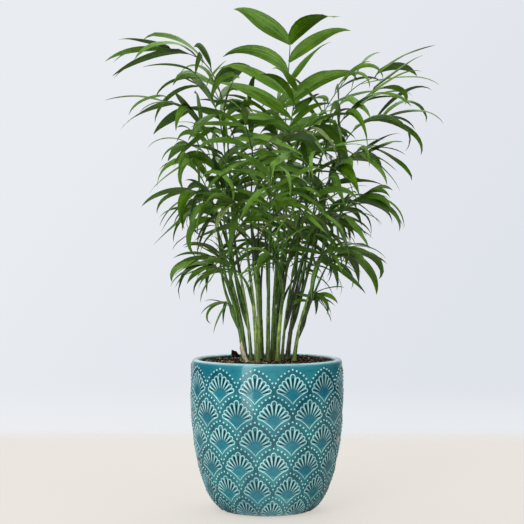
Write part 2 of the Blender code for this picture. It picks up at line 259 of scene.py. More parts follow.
made = bmesh.new()
bmesh.ops.create_grid(made, x_segments=32, y_segments=16, size=1)
bmesh.ops.scale(made, verts=made.verts, vec=(FLOOR_REACH[1], FLOOR_DEPTH[1], 1))
paper, place = finish("pale_paper", Roughness=0.85, Specular_IOR_Level=0.2, Emission_Strength=1)
across, deep = place.part(0).size(), place.part(1).size()
sideways = (across / across.diagonal(deep)).rise(*FLOOR_SIDES)
seen = place.node("ShaderNodeLightPath")
feed(
    paper,
    Base_Color=place.grain(PAPER_GRAIN, 2).tint(FLOOR_COLOUR, [part * PAPER_DARKER for part in FLOOR_COLOUR]),
    Emission_Color=(1 - sideways * (1 - seen) * SIDES_DIMMED).tint(BLACK, FLOOR_GLOW),
    Alpha=(1 - across.rise(*FLOOR_REACH)) * (1 - deep.rise(*FLOOR_DEPTH)),
)
floor = add_piece("floor", made, paper, smooth=False)
floor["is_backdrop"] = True

# The pot. Slip-cast stoneware, round, with a bowl-shaped foot and a rolled lip. A teal glaze runs thin and
# pale over every raised edge, and pools deep and blue in the hollows, which are only painted, with painted
# shade in them as well. Painted shade also darkens a band under each arch and the inner wall, and a painted
# highlight brightens the rim. The foot ring that it stands on is left bare.
MM = 0.001
POT_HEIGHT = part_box("pot")[1].z
BELLY_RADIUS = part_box("pot")[1].x
BELLY_HEIGHT = 135 * MM
FOOT_RADIUS = 46 * MM
FOOT_SECTION = ((0, 2.5), (37, 2.5), (39, 0.4), (40, 0), (45, 0), (46, 0.03))  # radius and height in mm
RIM_RADIUS = 87.5 * MM
POT_WALL = 8 * MM
POT_FLOOR = 10 * MM
LIP_RADIUS = 0.48 * POT_WALL
CORNER_WIDTH = 3 * MM  # of the slope between the floor and the inner wall
CORNER_HEIGHT = 6 * MM
POT_STEPS = 144  # round
BOWL_STEPS = 44  # from the foot up to the belly
SHOULDER_STEPS = 12  # and on to the lip
LIP_STEPS = 12
INSIDE_STEPS = 14
POT_CREASE = 50
TURNED_SEAM = 0.005 * MM  # within which two corners of a turned shape are one
FANS_ROUND = 13
PATTERN_RADIUS = 88 * MM  # of the wall on which a fan has its width
FAN_WIDTH = math.tau * PATTERN_RADIUS / FANS_ROUND
FIRST_FAN = math.radians(-8.7)  # about the pot, from the side that faces the viewer
ROWS = 6
ROW_PITCH = 29.2 * MM
FIRST_ROW = 6.5 * MM  # down the wall from the rim
PATTERN_END = 183 * MM
FAN_HEART = 29.5 * MM  # the fan's centre, below the top of its arch
PETAL_STEP = math.radians(17.26)  # from the middle of one petal to the next
FAN_SIDES = (1.50, 1.32)  # radians from upright, between which a fan's hollows end at its sides
HOLLOW_START = (4, 14)  # mm from the fan's heart, over which a petal's hollows darken: pooled glaze, painted shade
HOLLOW_END = 17.0  # mm from there, where it ends at the fan's sides
HOLLOW_LONGER = 4.5  # how much further out it ends in the middle petal
HOLLOW_SOFT = 2.5  # over how much it ends
HOLLOW_SPREAD = 2.4  # how much faster than the petals lean it gets shorter
PAINTED_SHADE_AT = 3.5  # mm beyond the hollows, of the band of painted shade between petals' tips and arch
PAINTED_SHADE_WIDTH = 5.5
ARCH_GAP = 0.09  # of a row's pitch, by which a fan's colours start below the top of its arch
PATTERN_ROWS = ((0, 0.1), (6.0, 6.06))  # rows down the wall, over which the fans' colours start and end
INNER_HEIGHT = (0.12, 0.15)  # between which the inner wall turns dark with painted shade
INNER_EDGE = 0.7  # of the wall's thickness, from the outside, at which it does
RIM_PALE = (2.6 * MM, 0.6 * MM)  # from the top, between which the rim turns pale: thin glaze, painted highlight
BARE_EDGE = (0.2 * MM, 0.7 * MM)  # above the ground, between which the glaze starts
MOTTLE_GRAINS = (38, 260)  # lumps a metre, coarse and fine
PATCH_GRAIN = 26
SMEAR_GRAIN = 90
WAVE_GRAIN = 55
GLAZE_TEAL = (0.010, 0.138, 0.180)
GLAZE_GREEN = (0.056, 0.330, 0.345)
GLAZE_IN_PAINTED_SHADE = (0.004, 0.064, 0.086)
# Pooled glaze and painted shade, in the petals' hollows, beside the lines and on the inner wall
POOLED_AND_SHADED_GLAZE = (0.001, 0.026, 0.033)
GLAZE_BLUE = (0.006, 0.170, 0.245)
GLAZE_PALE = (0.48, 0.80, 0.82)
GLAZE_COAT = 0.75
BARE_CLAY = (0.62, 0.56, 0.48)


def evenly(first, last, steps):
    """Numbers from the first to the last, so many even steps apart."""
    return [first + (last - first) * step / steps for step in range(steps + 1)]


def wall_radius(height):
    """The pot's outer radius: a quarter ellipse up to the belly, then drawn in a little to the rim."""
    if height < BELLY_HEIGHT:
        drop = 1 - height / BELLY_HEIGHT
        return FOOT_RADIUS + (BELLY_RADIUS - FOOT_RADIUS) * math.sqrt(1 - drop * drop)
    climb = (height - BELLY_HEIGHT) / (POT_HEIGHT - BELLY_HEIGHT)
    return BELLY_RADIUS - (BELLY_RADIUS - RIM_RADIUS) * climb * climb


def outer_wall():
    """Radius and height up the outside, from the foot to the lip."""
    bowl = [BELLY_HEIGHT * (1 - math.cos(turn)) for turn in evenly(0, math.pi / 2, BOWL_STEPS)]
    shoulder = evenly(BELLY_HEIGHT, POT_HEIGHT - LIP_RADIUS, SHOULDER_STEPS)
    return [(wall_radius(height), height) for height in bowl[1:] + shoulder[1:]]


def pot_profile():
    """Half of the pot's section: bare foot ring, outside, rolled lip, inside and floor."""
    foot = [(radius * MM, height * MM) for radius, height in FOOT_SECTION]
    lip_foot = POT_HEIGHT - LIP_RADIUS
    middle = wall_radius(POT_HEIGHT) - LIP_RADIUS
    turns = evenly(0, math.pi, LIP_STEPS)[1:-1]
    lip = [(middle + LIP_RADIUS * math.cos(turn), lip_foot + LIP_RADIUS * math.sin(turn)) for turn in turns]
    levels = evenly(lip_foot, POT_FLOOR + CORNER_HEIGHT, INSIDE_STEPS)
    inside = [(wall_radius(level) - POT_WALL, level) for level in levels]
    corner = (wall_radius(POT_FLOOR) - POT_WALL - CORNER_WIDTH, POT_FLOOR)
    return foot + outer_wall() + lip + inside + [corner, (0, POT_FLOOR)]


def turned(profile, steps):
    """A solid of revolution about the pot's axis, from a profile that starts and ends on it."""
    made = bmesh.new()
    points = [made.verts.new((radius, 0, height)) for radius, height in profile]
    edges = [made.edges.new(pair) for pair in zip(points, points[1:])]
    bmesh.ops.spin(
        made, geom=points + edges, cent=(0, 0, 0), axis=UP, angle=math.tau, steps=steps, use_merge=True
    )
    bmesh.ops.remove_doubles(made, verts=made.verts, dist=TURNED_SEAM)
    bmesh.ops.recalc_face_normals(made, faces=made.faces)
    return made


# The outside wall as a strip: how far down from the rim each level lies along the clay, its radius and
# height, and which way the clay faces there.
strip = np.array(outer_wall()[::-1])
strip_run = POT_HEIGHT - strip[0, 1] + np.append(0, np.cumsum(np.hypot(*np.diff(strip, axis=0).T)))
strip_slope = np.gradient(strip, axis=0)
strip_out = np.column_stack((-strip_slope[:, 1], strip_slope[:, 0]))
strip_out /= np.linalg.norm(strip_out, axis=1)[:, None]


def on_wall(flat):
    """Bends flat points (across, down from the rim, out from the clay) onto the wall."""
    across, down, out = flat.T
    columns = (*strip.T, *strip_out.T)
    radius, height, out_radius, out_height = [np.interp(down, strip_run, column) for column in columns]
    turn = FIRST_FAN + across / FAN_WIDTH * math.tau / FANS_ROUND
    radius = radius + out * out_radius
    return np.column_stack((radius * np.sin(turn), -radius * np.cos(turn), height + out * out_height))


def map_wall(made):
    """A UV map whose unit is one fan: across from the first one's middle, and down from its arch."""
    layer = made.loops.layers.uv.new("fans")
    for face in made.faces:
        middle = face.calc_center_median()
        middle_turn = math.atan2(middle.x, -middle.y)
        for loop in face.loops:
            turn = math.atan2(loop.vert.co.x, -loop.vert.co.y)
            turn = middle_turn + (turn - middle_turn + math.pi) % math.tau - math.pi
            level = np.interp(-loop.vert.co.z, -strip[:, 1], strip_run)
            loop[layer].uv = ((turn - FIRST_FAN) / math.tau * FANS_ROUND, (level - FIRST_ROW) / ROW_PITCH)


def glaze(name):
    """The teal glaze, greener in patches, bluer high up: its material, point, mottle, patches and colour."""
    made, place = finish(name, Coat_Roughness=0.08, Coat_Weight=GLAZE_COAT, Specular_IOR_Level=0.15)
    coarse, fine = MOTTLE_GRAINS
    mottle = place.grain(coarse, 4) * 0.7 + place.grain(fine, 2) * 0.3
    patches = place.grain(PATCH_GRAIN, 3, 0.6).rise(0.36, 0.60)
    colour = (mottle.rise(0.30, 0.70) * 0.6 + patches * 0.4).tint(GLAZE_TEAL, GLAZE_GREEN)
    colour = (place.part(2).rise(0.60 * POT_HEIGHT, POT_HEIGHT) * 0.45).tint(colour, GLAZE_BLUE)
    waves = place.grain(WAVE_GRAIN, 3)
    feed(made, Roughness=place.grain(SMEAR_GRAIN, 3) * 0.16 + 0.05, Normal=waves.bump(0.10, 2 * MM))
    return made, place, mottle, patches, colour


def wall_glaze():
    """The glaze on the wall: deep in the petals with pooled glaze and painted shade, blue at their heart,
    painted shade under each arch and on the inner wall, pale on the rim with thin glaze and a painted
    highlight, none on the foot.
    """
    made, place, mottle, patches, colour = glaze("glaze")
    outwards, height = place.part(0).diagonal(place.part(1)), place.part(2)
    mapped = place.node("ShaderNodeUVMap", uv_map="fans")
    down = mapped.part(1) - ARCH_GAP
    every_other = (down.maths("FLOOR") * 0.5).maths("FRACT")
    across = ((mapped.part(0) + 0.5 - every_other).maths("FRACT") - 0.5) * (FAN_WIDTH / MM)
    above_heart = FAN_HEART / MM - (down.maths("FRACT") + ARCH_GAP) * (ROW_PITCH / MM)
    away = across.diagonal(above_heart)
    lean = across.maths("ARCTAN2", above_heart)
    first_row, last_row = PATTERN_ROWS
    in_rows = mapped.part(1).rise(*first_row) * (1 - mapped.part(1).rise(*last_row))
    longer = (lean * HOLLOW_SPREAD).maths("COSINE").rise(-0.4, 1.0) * HOLLOW_LONGER
    beyond = away - (longer + HOLLOW_END)
    # The petals' hollows aren't modelled: their dark colour is pooled glaze and painted shade.
    pooled_and_shaded_hollow = (lean * (math.tau / PETAL_STEP)).maths("COSINE").rise(-0.5, 0.4) * away.rise(*HOLLOW_START)
    pooled_and_shaded_hollow = pooled_and_shaded_hollow * (1 - beyond.rise(-HOLLOW_SOFT, 0)) * lean.size().rise(*FAN_SIDES) * in_rows
    heart = (1 - away.rise(0, HOLLOW_START[1])) * in_rows
    # A band of painted shade under each arch of beads.
    painted_shade_band = (1 - (beyond - PAINTED_SHADE_AT).size().rise(0, PAINTED_SHADE_WIDTH)) * in_rows
    # Painted shade darkens the inner wall.
    within = 1 - outwards.rise(RIM_RADIUS - POT_WALL, RIM_RADIUS - INNER_EDGE * POT_WALL)
    # The rim's pale band is partly thin glaze over the lip and partly a painted highlight.
    rim = height.rise(*[POT_HEIGHT - depth for depth in RIM_PALE])
    bare = 1 - height.rise(*BARE_EDGE)
    # Coats over the glaze: blue hearts, painted shade under the arches, pooled glaze and painted shade in the
    # petals, painted shade on the inner wall, thin glaze and a painted highlight on the rim, bare clay.
    coats = (
        (heart * 0.75, GLAZE_BLUE),
        (painted_shade_band * (0.85 - patches * 0.4), GLAZE_IN_PAINTED_SHADE),
        (pooled_and_shaded_hollow * (0.65 + mottle * 0.6), POOLED_AND_SHADED_GLAZE),
        (within * height.rise(*INNER_HEIGHT) * 0.95, POOLED_AND_SHADED_GLAZE),
        (rim * (0.15 + mottle * 0.9), GLAZE_PALE),
        (bare, BARE_CLAY),
    )
    for share, coat in coats:
        colour = share.tint(colour, coat)
    feed(made, Base_Color=colour, Coat_Weight=(1 - bare) * (GLAZE_COAT - pooled_and_shaded_hollow * 0.5))
    return made


pot_mesh = turned(pot_profile(), POT_STEPS)
map_wall(pot_mesh)
pot = add_piece("glazed_pot", pot_mesh, wall_glaze(), crease=POT_CREASE)
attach(pot, "root")
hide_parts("pot")

# The pot's raised lines. Each fan has nine rounded petals side by side and two lines that meet in a point
# below them, pressed out of the same clay as the wall. The lowest row is cut off by the plain band above the
# foot.
LINE_RISE = 0.80  # of a line's crest, in mm like the other sizes here
LINE_BASE = -0.30  # where its sides end, within the wall
LINE_SUNK = 0.12  # below the wall where a line starts
LINE_START_WIDTH = 0.25  # of its full width
HALF_SECTION = ((1.15, LINE_BASE), (0.85, 0.20), (0.48, 0.62))  # beside the crest and out from the wall
LINE_SECTION = (*[(-offset, rise) for offset, rise in HALF_SECTION], (0, LINE_RISE), *HALF_SECTION[::-1])
LEAST_STAND = 0.05  # below which a line's crest isn't told apart from its sides
ROLLED_SEAM = 0.0001 * MM  # within which the two sides of a rolled grid meet
PETAL_LENGTHS = (24.4, 21.6, 20.1, 19.6, 19.3)  # from the middle petal outwards
PETAL_START = 4.0
PETAL_INSET = 0.42  # of a petal's line from the line that it shares with the next petal
PETAL_SIDE = (0, 0.3, 0.65)  # the points along a petal's side, as shares of it
PETAL_TIP_STEPS = 3  # of a quarter turn
START_INSET = 0.15  # like PETAL_INSET, where a petal starts
LINE_FADE = 12.0  # over which a petal's sides rise from the fan's heart
POINT_CENTRE = Vector((28.3, 58.4))  # of the arc that runs to the point below the fan
POINT_RADIUS = 34.8
POINT_TURNS = (math.radians(-107.5), math.radians(-145))
POINT_STEPS = 7
POINT_STAND = 0.95


def headings(path):
    """The way that a path goes at each of its points."""
    ways = [(ahead - behind).normalized() for behind, ahead in zip(path, path[1:])]
    return [ways[0], *[(one + other).normalized() for one, other in zip(ways, ways[1:])], ways[-1]]


def rolled(made, rings, stands=None):
    """A grid rolled up into a tube through rings of points, with its ends closed. Each ring's stand, if it
    has one, is kept on its points."""
    layer = made.verts.layers.float.get("stand")
    sides, last = len(rings[0]), len(rings) - 1
    verts = bmesh.ops.create_grid(made, x_segments=sides, y_segments=last, size=0.5)["verts"]
    for vert in verts:
        number = round((vert.co.y + 0.5) * last)
        if stands:
            vert[layer] = stands[number]
        vert.co = rings[number][round((vert.co.x + 0.5) * sides) % sides]
    bmesh.ops.remove_doubles(made, verts=verts, dist=ROLLED_SEAM)
    edges = {edge for vert in verts if vert.is_valid for edge in vert.link_edges if edge.is_boundary}
    bmesh.ops.holes_fill(made, edges=list(edges), sides=0)


def raised_line(made, path, heights):
    """A raised line along flat points (across, down), which stands as high as its heights say, 0 to 1."""
    rings = []
    for point, way, height in zip(path, headings(path), heights):
        side = Vector((way.y, -way.x)) * (LINE_START_WIDTH + (1 - LINE_START_WIDTH) * height)
        sunk = LINE_SUNK * (1 - height)
        rings.append([(*(point + side * offset), rise * height - sunk) for offset, rise in LINE_SECTION])
    rolled(made, rings, heights)


def petal_line(step):
    """The outline of one petal, up one side, round its tip and down the other, and how high it stands."""
    length = PETAL_LENGTHS[abs(step)]
    widening = math.sin(PETAL_STEP / 2)
    shoulder = (length + PETAL_INSET) / (1 + widening)
    tip_radius = length - shoulder
    start = PETAL_START * widening - START_INSET
    half = [
        (PETAL_START + (shoulder - PETAL_START) * part, start + (tip_radius - start) * part)
        for part in PETAL_SIDE
    ]
    turns = evenly(math.pi / 2, 0, PETAL_TIP_STEPS)
    half += [(shoulder + tip_radius * math.cos(turn), tip_radius * math.sin(turn)) for turn in turns]
    outline = half + [(along, -beside) for along, beside in half[-2::-1]]
    lean = PETAL_STEP * step
    outwards, sideways = Vector((math.sin(lean), -math.cos(lean))), Vector((math.cos(lean), math.sin(lean)))
    heart = Vector((0, FAN_HEART / MM))
    path = [heart + outwards * along + sideways * beside for along, beside in outline]
    return path, [min(1, (along - PETAL_START) / LINE_FADE) for along, beside in outline]


def point_line(side):
    """The line from the outermost petal on one side to the point below the fan."""
    turns = evenly(*POINT_TURNS, POINT_STEPS)
    path = [POINT_CENTRE + Vector((math.cos(turn), math.sin(turn))) * POINT_RADIUS for turn in turns]
    return [Vector((point.x * side, point.y)) for point in path], [POINT_STAND] * len(path)


def cut_off(made, place, facing):
    """Takes away what lies beyond a plane, and closes the cut."""
    everything = [*made.verts, *made.edges, *made.faces]
    bmesh.ops.bisect_plane(made, geom=everything, plane_co=place, plane_no=facing, clear_outer=True)
    bmesh.ops.holes_fill(made, edges=[edge for edge in made.edges if edge.is_boundary], sides=0)


def shape_of(made):
    """The points and faces of a bmesh, to be copied many times."""
    bmesh.ops.recalc_face_normals(made, faces=made.faces)
    made.verts.index_update()
    points = np.array([vert.co for vert in made.verts])
    faces = [tuple(vert.index for vert in face.verts) for face in made.faces]
    made.free()
    return points, faces


def fan(cut=None):
    """One fan in mm, cut off level so far below its arch: its points and faces, how near to its line's crest
    each point is, and how high the line stands there."""
    made = bmesh.new()
    layer = made.verts.layers.float.new("stand")
    outermost = len(PETAL_LENGTHS) - 1
    for step in range(-outermost, outermost + 1):
        raised_line(made, *petal_line(step))
    for side in (-1, 1):
        raised_line(made, *point_line(side))
    if cut is not None:
        cut_off(made, (0, cut, 0), (0, 1, 0))
    stand = np.array([vert[layer] for vert in made.verts])
    points, faces = shape_of(made)
    risen = points[:, 2] + LINE_SUNK * (1 - stand) - LINE_BASE * stand
    crest = risen / (LINE_RISE - LINE_BASE) / np.maximum(stand, LEAST_STAND)
    return points, faces, crest, stand


def joined(name, shapes, **values):
    """One mesh of many shapes, each given as its points and faces, with values kept on its points."""
    faces, start = [], 0
    for points, shape_faces in shapes:
        faces.extend(tuple(corner + start for corner in face) for face in shape_faces)
        start += len(points)
    mesh = bpy.data.meshes.new(name)
    mesh.from_pydata(np.concatenate([points for points, shape_faces in shapes]).tolist(), [], faces)
    for key, arrays in values.items():
        mesh.attributes.new(key, "FLOAT", "POINT").data.foreach_set("value", np.concatenate(arrays))
    return mesh


def rows_of_fans():
    """Each fan's row and its place on the wall: across at the belly, and down to the top of its arch."""
    for row in range(ROWS):
        for number in range(FANS_ROUND):
            yield row, (number + row % 2 / 2) * FAN_WIDTH, FIRST_ROW + row * ROW_PITCH


def line_glaze():
    """The glaze on a line: pale where it runs thin over the crest, deep beside it with pooled glaze and painted
    shade, blue where the line starts low."""
    made, place, mottle, patches, colour = glaze("line_glaze")
    crest = place.node("ShaderNodeAttribute", output=2, attribute_name="crest")
    stand = place.node("ShaderNodeAttribute", output=2, attribute_name="stand")
    # Beside the crest, pooled glaze and painted shade darken the line.
    pooled_and_shaded = (1 - crest.rise(0.30, 0.62)) * stand
    colour = (pooled_and_shaded * 0.8).tint(stand.rise(0.0, 0.8).tint(GLAZE_BLUE, colour), POOLED_AND_SHADED_GLAZE)
    thin = (crest * (0.75 + mottle * 0.5)).rise(0.50, 1.0) * stand.rise(0.1, 0.9) * (patches * 0.35 + 0.65)
    thin = thin * (place.part(2).rise(0, POT_HEIGHT / 2) * 0.30 + 0.70)
    feed(made, Base_Color=thin.tint(colour, GLAZE_PALE))
    return made


whole_fan = fan()
cut_fan = fan(cut=(PATTERN_END - FIRST_ROW - (ROWS - 1) * ROW_PITCH) / MM)
fans, crests, stands = [], [], []
for row, across, down in rows_of_fans():
    points, faces, crest, stand = cut_fan if row == ROWS - 1 else whole_fan
    fans.append((on_wall(points * MM + (across, down, 0)), faces))
    crests.append(crest)
    stands.append(stand)
line_mesh = joined("raised_lines", fans, crest=crests, stand=stands)
raised_lines = add_piece("raised_lines", line_mesh, line_glaze())
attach(raised_lines, "root")
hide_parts("pot")

# The pot's beads. Rows of small round beads follow the arch over every fan, twelve to a fan with the shared
# ones, pressed out of the clay like the lines and as pale under the thin glaze.
BEAD_RADIUS = 1.4  # in mm, like the arc's sizes
BEAD_SIDES = 8
BEAD_RINGS = 6
BEAD_SUNK = 0.4  # how deep a bead goes into the wall
BEAD_PALER = 0.25  # than the height on it says
ARCH_CENTRE = Vector((-6.9, 29.2))  # of the arc that bears the right half of an arch's beads
ARCH_RADIUS = 30.0
ARCH_TOP = math.atan2(29.2, 6.9)
ARCH_FOOT = math.atan2(10.0, 28.3)
BEADS_PER_HALF = 6

made = bmesh.new()
bmesh.ops.create_uvsphere(made, u_segments=BEAD_SIDES, v_segments=BEAD_RINGS, radius=BEAD_RADIUS)
cut_off(made, (0, 0, -BEAD_SUNK), (0, 0, -1))
bead, bead_faces = shape_of(made)
turns = evenly(ARCH_TOP, ARCH_FOOT, BEADS_PER_HALF)
half_arch = [ARCH_CENTRE + Vector((math.cos(turn), -math.sin(turn))) * ARCH_RADIUS for turn in turns]
arch = half_arch + [Vector((-spot.x, spot.y)) for spot in half_arch[1:-1]]
all_beads = [
    (on_wall((bead + (*spot, 0)) * MM + (across, down, 0)), bead_faces)
    for row, across, down in rows_of_fans()
    for spot in arch
    if down + spot.y * MM < PATTERN_END
]
crests = [bead[:, 2] / BEAD_RADIUS + BEAD_PALER] * len(all_beads)
stands = [np.ones(len(bead))] * len(all_beads)
bead_mesh = joined("beads", all_beads, crest=crests, stand=stands)
beads = add_piece("beads", bead_mesh, raised_lines.data.materials[0])
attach(beads, "root")
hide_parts("pot")

# The potting mix. Coarse bark, peat and grit, heaped a little towards the back on the right: one crumbly
# surface that reaches down into the pot, and thousands of loose bits that lie half sunk in it.
MIX_TOP = 173.5 * MM
MIX_EDGE = 171.5 * MM  # at the wall
MIX_LEVEL_RADIUS = 42 * MM
MIX_CORNER_WIDTH = 4 * MM
MIX_CORNER_HEIGHT = 7 * MM
MIX_STEPS = 120  # round
MIX_RINGS = 44  # of the surface
MIX_LEVELS = 12  # down the side
CLEARANCE = 0.3 * MM  # between parts that don't touch
HEAP = Vector((0.045, 0.055))  # where the mix is heaped up
HEAP_RADIUS = 45 * MM
HEAP_RISE = 2.2 * MM
CRUMB_RISE = 1.4 * MM
CRUMB_SCALE = 130  # crumbs a metre
CRUMB_FRACTAL = (0.6, 2.1, 4)  # how fast finer crumbs get lower, how much finer they get, and how many sizes
PEAT = ((0.006, 0.004, 0.002), (0.044, 0.027, 0.014), 420)  # colour, light colour, patches a metre
BIT_PATCHES = 300
FINER = 5  # how much finer the roughness is than the patches
BITS = (  # name, colour, light colour, count, lengths in mm, thickness over length, share moved to the left
    ("dark_bark", (0.005, 0.003, 0.002), (0.026, 0.015, 0.008), 1300, (2.0, 7.5), 0.42, 0),
    ("brown_bark", (0.036, 0.020, 0.011), (0.120, 0.068, 0.034), 1000, (1.6, 5.5), 0.45, 0),
    ("tan_chips", (0.190, 0.130, 0.064), (0.440, 0.335, 0.180), 1150, (1.2, 3.8), 0.55, 0.6),
    ("golden_grit", (0.330, 0.245, 0.110), (0.600, 0.480, 0.260), 640, (1.0, 2.6), 0.75, 0.6),
    ("pale_grit", (0.360, 0.330, 0.270), (0.600, 0.570, 0.490), 150, (0.9, 2.4), 0.75, 0),
)
BIT_REACH = 0.985  # of the mix
BIT_SHORTER = (0.6, 1)  # than drawn from its range
BIT_WIDTH = (0.5, 0.9)  # of its length
BIT_TILT = 0.45  # radians, as it scatters
BIT_RISE = 0.2  # of its thickness, from the surface to its middle
BIT_LUMPS = (0.75, 1.2)  # how far its corners stand out
CHIP_SIZE = (8 * MM, 4 * MM, 13 * MM)  # of one upright chip of bark at the back on the left
CHIP_PLACE = Vector((-0.038, 0.062, 0.1755))
CHIP_TILT = math.radians(35)
CHIP_LUMPS = (0.55, 1.35)


def mix_surface(x, y):
    """The height of the mix at a place: level round the stems, lower at the wall, heaped and crumbly."""
    edge = wall_radius(MIX_EDGE) - POT_WALL
    slope = max(0, math.hypot(x, y) - MIX_LEVEL_RADIUS) / (edge - MIX_LEVEL_RADIUS)
    heap = HEAP_RISE * math.exp(-((Vector((x, y)) - HEAP).length / HEAP_RADIUS) ** 2)
    crumbs = CRUMB_RISE * noise.fractal(Vector((x, y, 0)) * CRUMB_SCALE, *CRUMB_FRACTAL)
    return MIX_TOP - (MIX_TOP - MIX_EDGE) * slope + heap + crumbs


def earthy(name, colour, light, scale):
    """Rough matt bark or grit, mottled between two tones."""
    made, place = finish(name, Specular_IOR_Level=0.1)
    patches = place.grain(scale, 5, 0.7)
    feed(
        made,
        Base_Color=patches.rise(0.35, 0.68).tint(colour, light),
        Roughness=patches * 0.25 + 0.72,
        Normal=place.grain(scale * FINER, 4, 0.7).bump(0.6, 0.6 * MM),
    )
    return made


def roughened(size, draw, lumps):
    """A lump of this size, each corner drawn in or out."""
    return lump * size * np.array([[draw.uniform(*lumps)] for corner in lump])


def loose_bit(draw, lengths, thickness, leftwards):
    """One bit of bark or grit somewhere on the mix."""
    turn, away = draw.uniform(0, math.tau), mix_reach * BIT_REACH * math.sqrt(draw.random())
    x, y = away * math.cos(turn), away * math.sin(turn)
    if draw.random() < leftwards:
        x = -abs(x)
    length = draw.uniform(*lengths) * draw.uniform(*BIT_SHORTER) * MM
    size = Vector((length, length * draw.uniform(*BIT_WIDTH), length * thickness))
    tilt = Matrix.Rotation(draw.uniform(0, math.tau), 3, "Z")
    tilt @= Matrix.Rotation(draw.gauss(0, BIT_TILT), 3, "X")
    seat = (x, y, mix_surface(x, y) + size.z * BIT_RISE)
    return roughened(size, draw, BIT_LUMPS) @ np.array(tilt).T + seat, lump_faces


def upright_chip(draw):
    """One large chip that stands in the mix."""
    tilt = Matrix.Rotation(CHIP_TILT, 3, "Y")
    return roughened(CHIP_SIZE, draw, CHIP_LUMPS) @ np.array(tilt) + CHIP_PLACE, lump_faces


mix_reach = wall_radius(MIX_EDGE) - POT_WALL - CLEARANCE
mix_floor = POT_FLOOR + CLEARANCE
foot = (wall_radius(POT_FLOOR) - POT_WALL - MIX_CORNER_WIDTH, mix_floor)
levels = evenly(mix_floor + MIX_CORNER_HEIGHT, MIX_EDGE, MIX_LEVELS)
side = [(wall_radius(level) - POT_WALL - CLEARANCE, level) for level in levels]
top = [(radius, MIX_TOP) for radius in evenly(0, mix_reach, MIX_RINGS)[-2::-1]]
mix_mesh = turned([(0, mix_floor), foot, *side, *top], MIX_STEPS)
for vert in mix_mesh.verts:
    if vert.co.z > MIX_EDGE - CLEARANCE:
        vert.co.z = mix_surface(vert.co.x, vert.co.y)
mix = add_piece("potting_mix_surface", mix_mesh, earthy("peat", *PEAT))
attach(mix, "root")
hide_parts("potting_mix")

made = bmesh.new()
bmesh.ops.create_icosphere(made, subdivisions=1, radius=0.5)
lump, lump_faces = shape_of(made)
for name, colour, light, count, *sizes in BITS:
    draw = random.Random(name)
    bits = [loose_bit(draw, *sizes) for number in range(count)]
    if name == "dark_bark":
        bits.append(upright_chip(draw))
    piece = add_piece(name, joined(name, bits), earthy(name, colour, light, BIT_PATCHES), smooth=False)
    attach(piece, "root")
    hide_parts("potting_mix")

# The stems. Slender green canes, each wrapped in its old leaf sheaths: every sheath ends in a raised ring,
# and fine ribs run up the cane. They stand in a clump, lean outwards and bear up to four fronds each.
STEM_COUNT = 14
CLUMP_RADIUS = 33 * MM
STEM_RADIUS = 3.3 * MM
STEM_TIP_RADIUS = 1.9 * MM
STEM_FLARE = 1.3 * MM
STEM_FLARE_HEIGHT = 5 * MM
STEM_TALLEST = 118 * MM
STEM_SHORTEST = 74 * MM
STEM_LEAN = math.radians(13)
STEM_BEND = 0.6  # the share of the lean that comes with height
STEM_SIDES = 7  # of the plain stem that later growth keeps clear of
STEM_SECTIONS = (0, 0.03, 0.08, 0.3, 0.55, 0.8, 1)  # shares of its height; the two lowest lie level
NEARBY = 0.01  # share of its height over which its direction is taken
CANE_SIDES = 20
CANE_STEP = 1.0 * MM
CANE_SUNK = 4 * MM
CANE_SLIMMER = (0.52, 0.86)  # than the plain stem
DOME_HEIGHT = 2 * MM  # of its tip
DOME_LEAST = 0.02  # of its width squared, at the very top
RING_SPACING = (9 * MM, 17 * MM)
RING_RISE = 0.30 * MM
RING_FADE = 1.2 * MM  # how fast a ring falls off below
SHEATH_RISE = 0.35  # of the ring's, for the sheath that it ends
SHEATH_FADE = 6 * MM
RIBS_ROUND = 5
RIBBING = 0.035  # of the radius
GOLDEN_ANGLE = math.radians(137.5)
LEAF_BASES_PER_STEM = 4
LEAF_BASE_STEP = 0.15  # of the stem's height, from one leaf base down to the next
STALK_RADIUS = 1.45 * MM
STALK_ANGLE = math.radians(9)  # from the stem, where it leaves the side
RIB_SIDES = 3
CANE_TONES = {
    "green_canes": ((0.022, 0.068, 0.006), (0.180, 0.325, 0.056)),
    "pale_canes": ((0.060, 0.135, 0.014), (0.370, 0.510, 0.130)),
    "brown_canes": ((0.016, 0.022, 0.007), (0.110, 0.140, 0.046)),
}
CANE_ORDER = (0, 1, 0, 2, 1, 0, 0, 1, 2, 0, 1, 0, 0, 1)  # which tone each stem has
STREAK = (900, 900, 40)  # lumps a metre across and along
SHEATH_BROWN = (0.060, 0.036, 0.018)
BROWN_HEIGHT = 34 * MM  # above the mix, up to which the oldest sheaths have turned brown in places
BLOTCH_GRAIN = 110


def direction(azimuth):
    """A level way."""
    return Vector((math.cos(azimuth), math.sin(azimuth), 0))


def ring(centre, normal, radius, sides):
    """A regular ring of points square to a direction, with its first point towards +X."""
    across = (Vector((1, 0, 0)) - normal * normal.x).normalized()
    other = normal.cross(across)
    turns = evenly(0, math.tau, sides)[:-1]
    return [centre + (across * math.cos(turn) + other * math.sin(turn)) * radius for turn in turns]


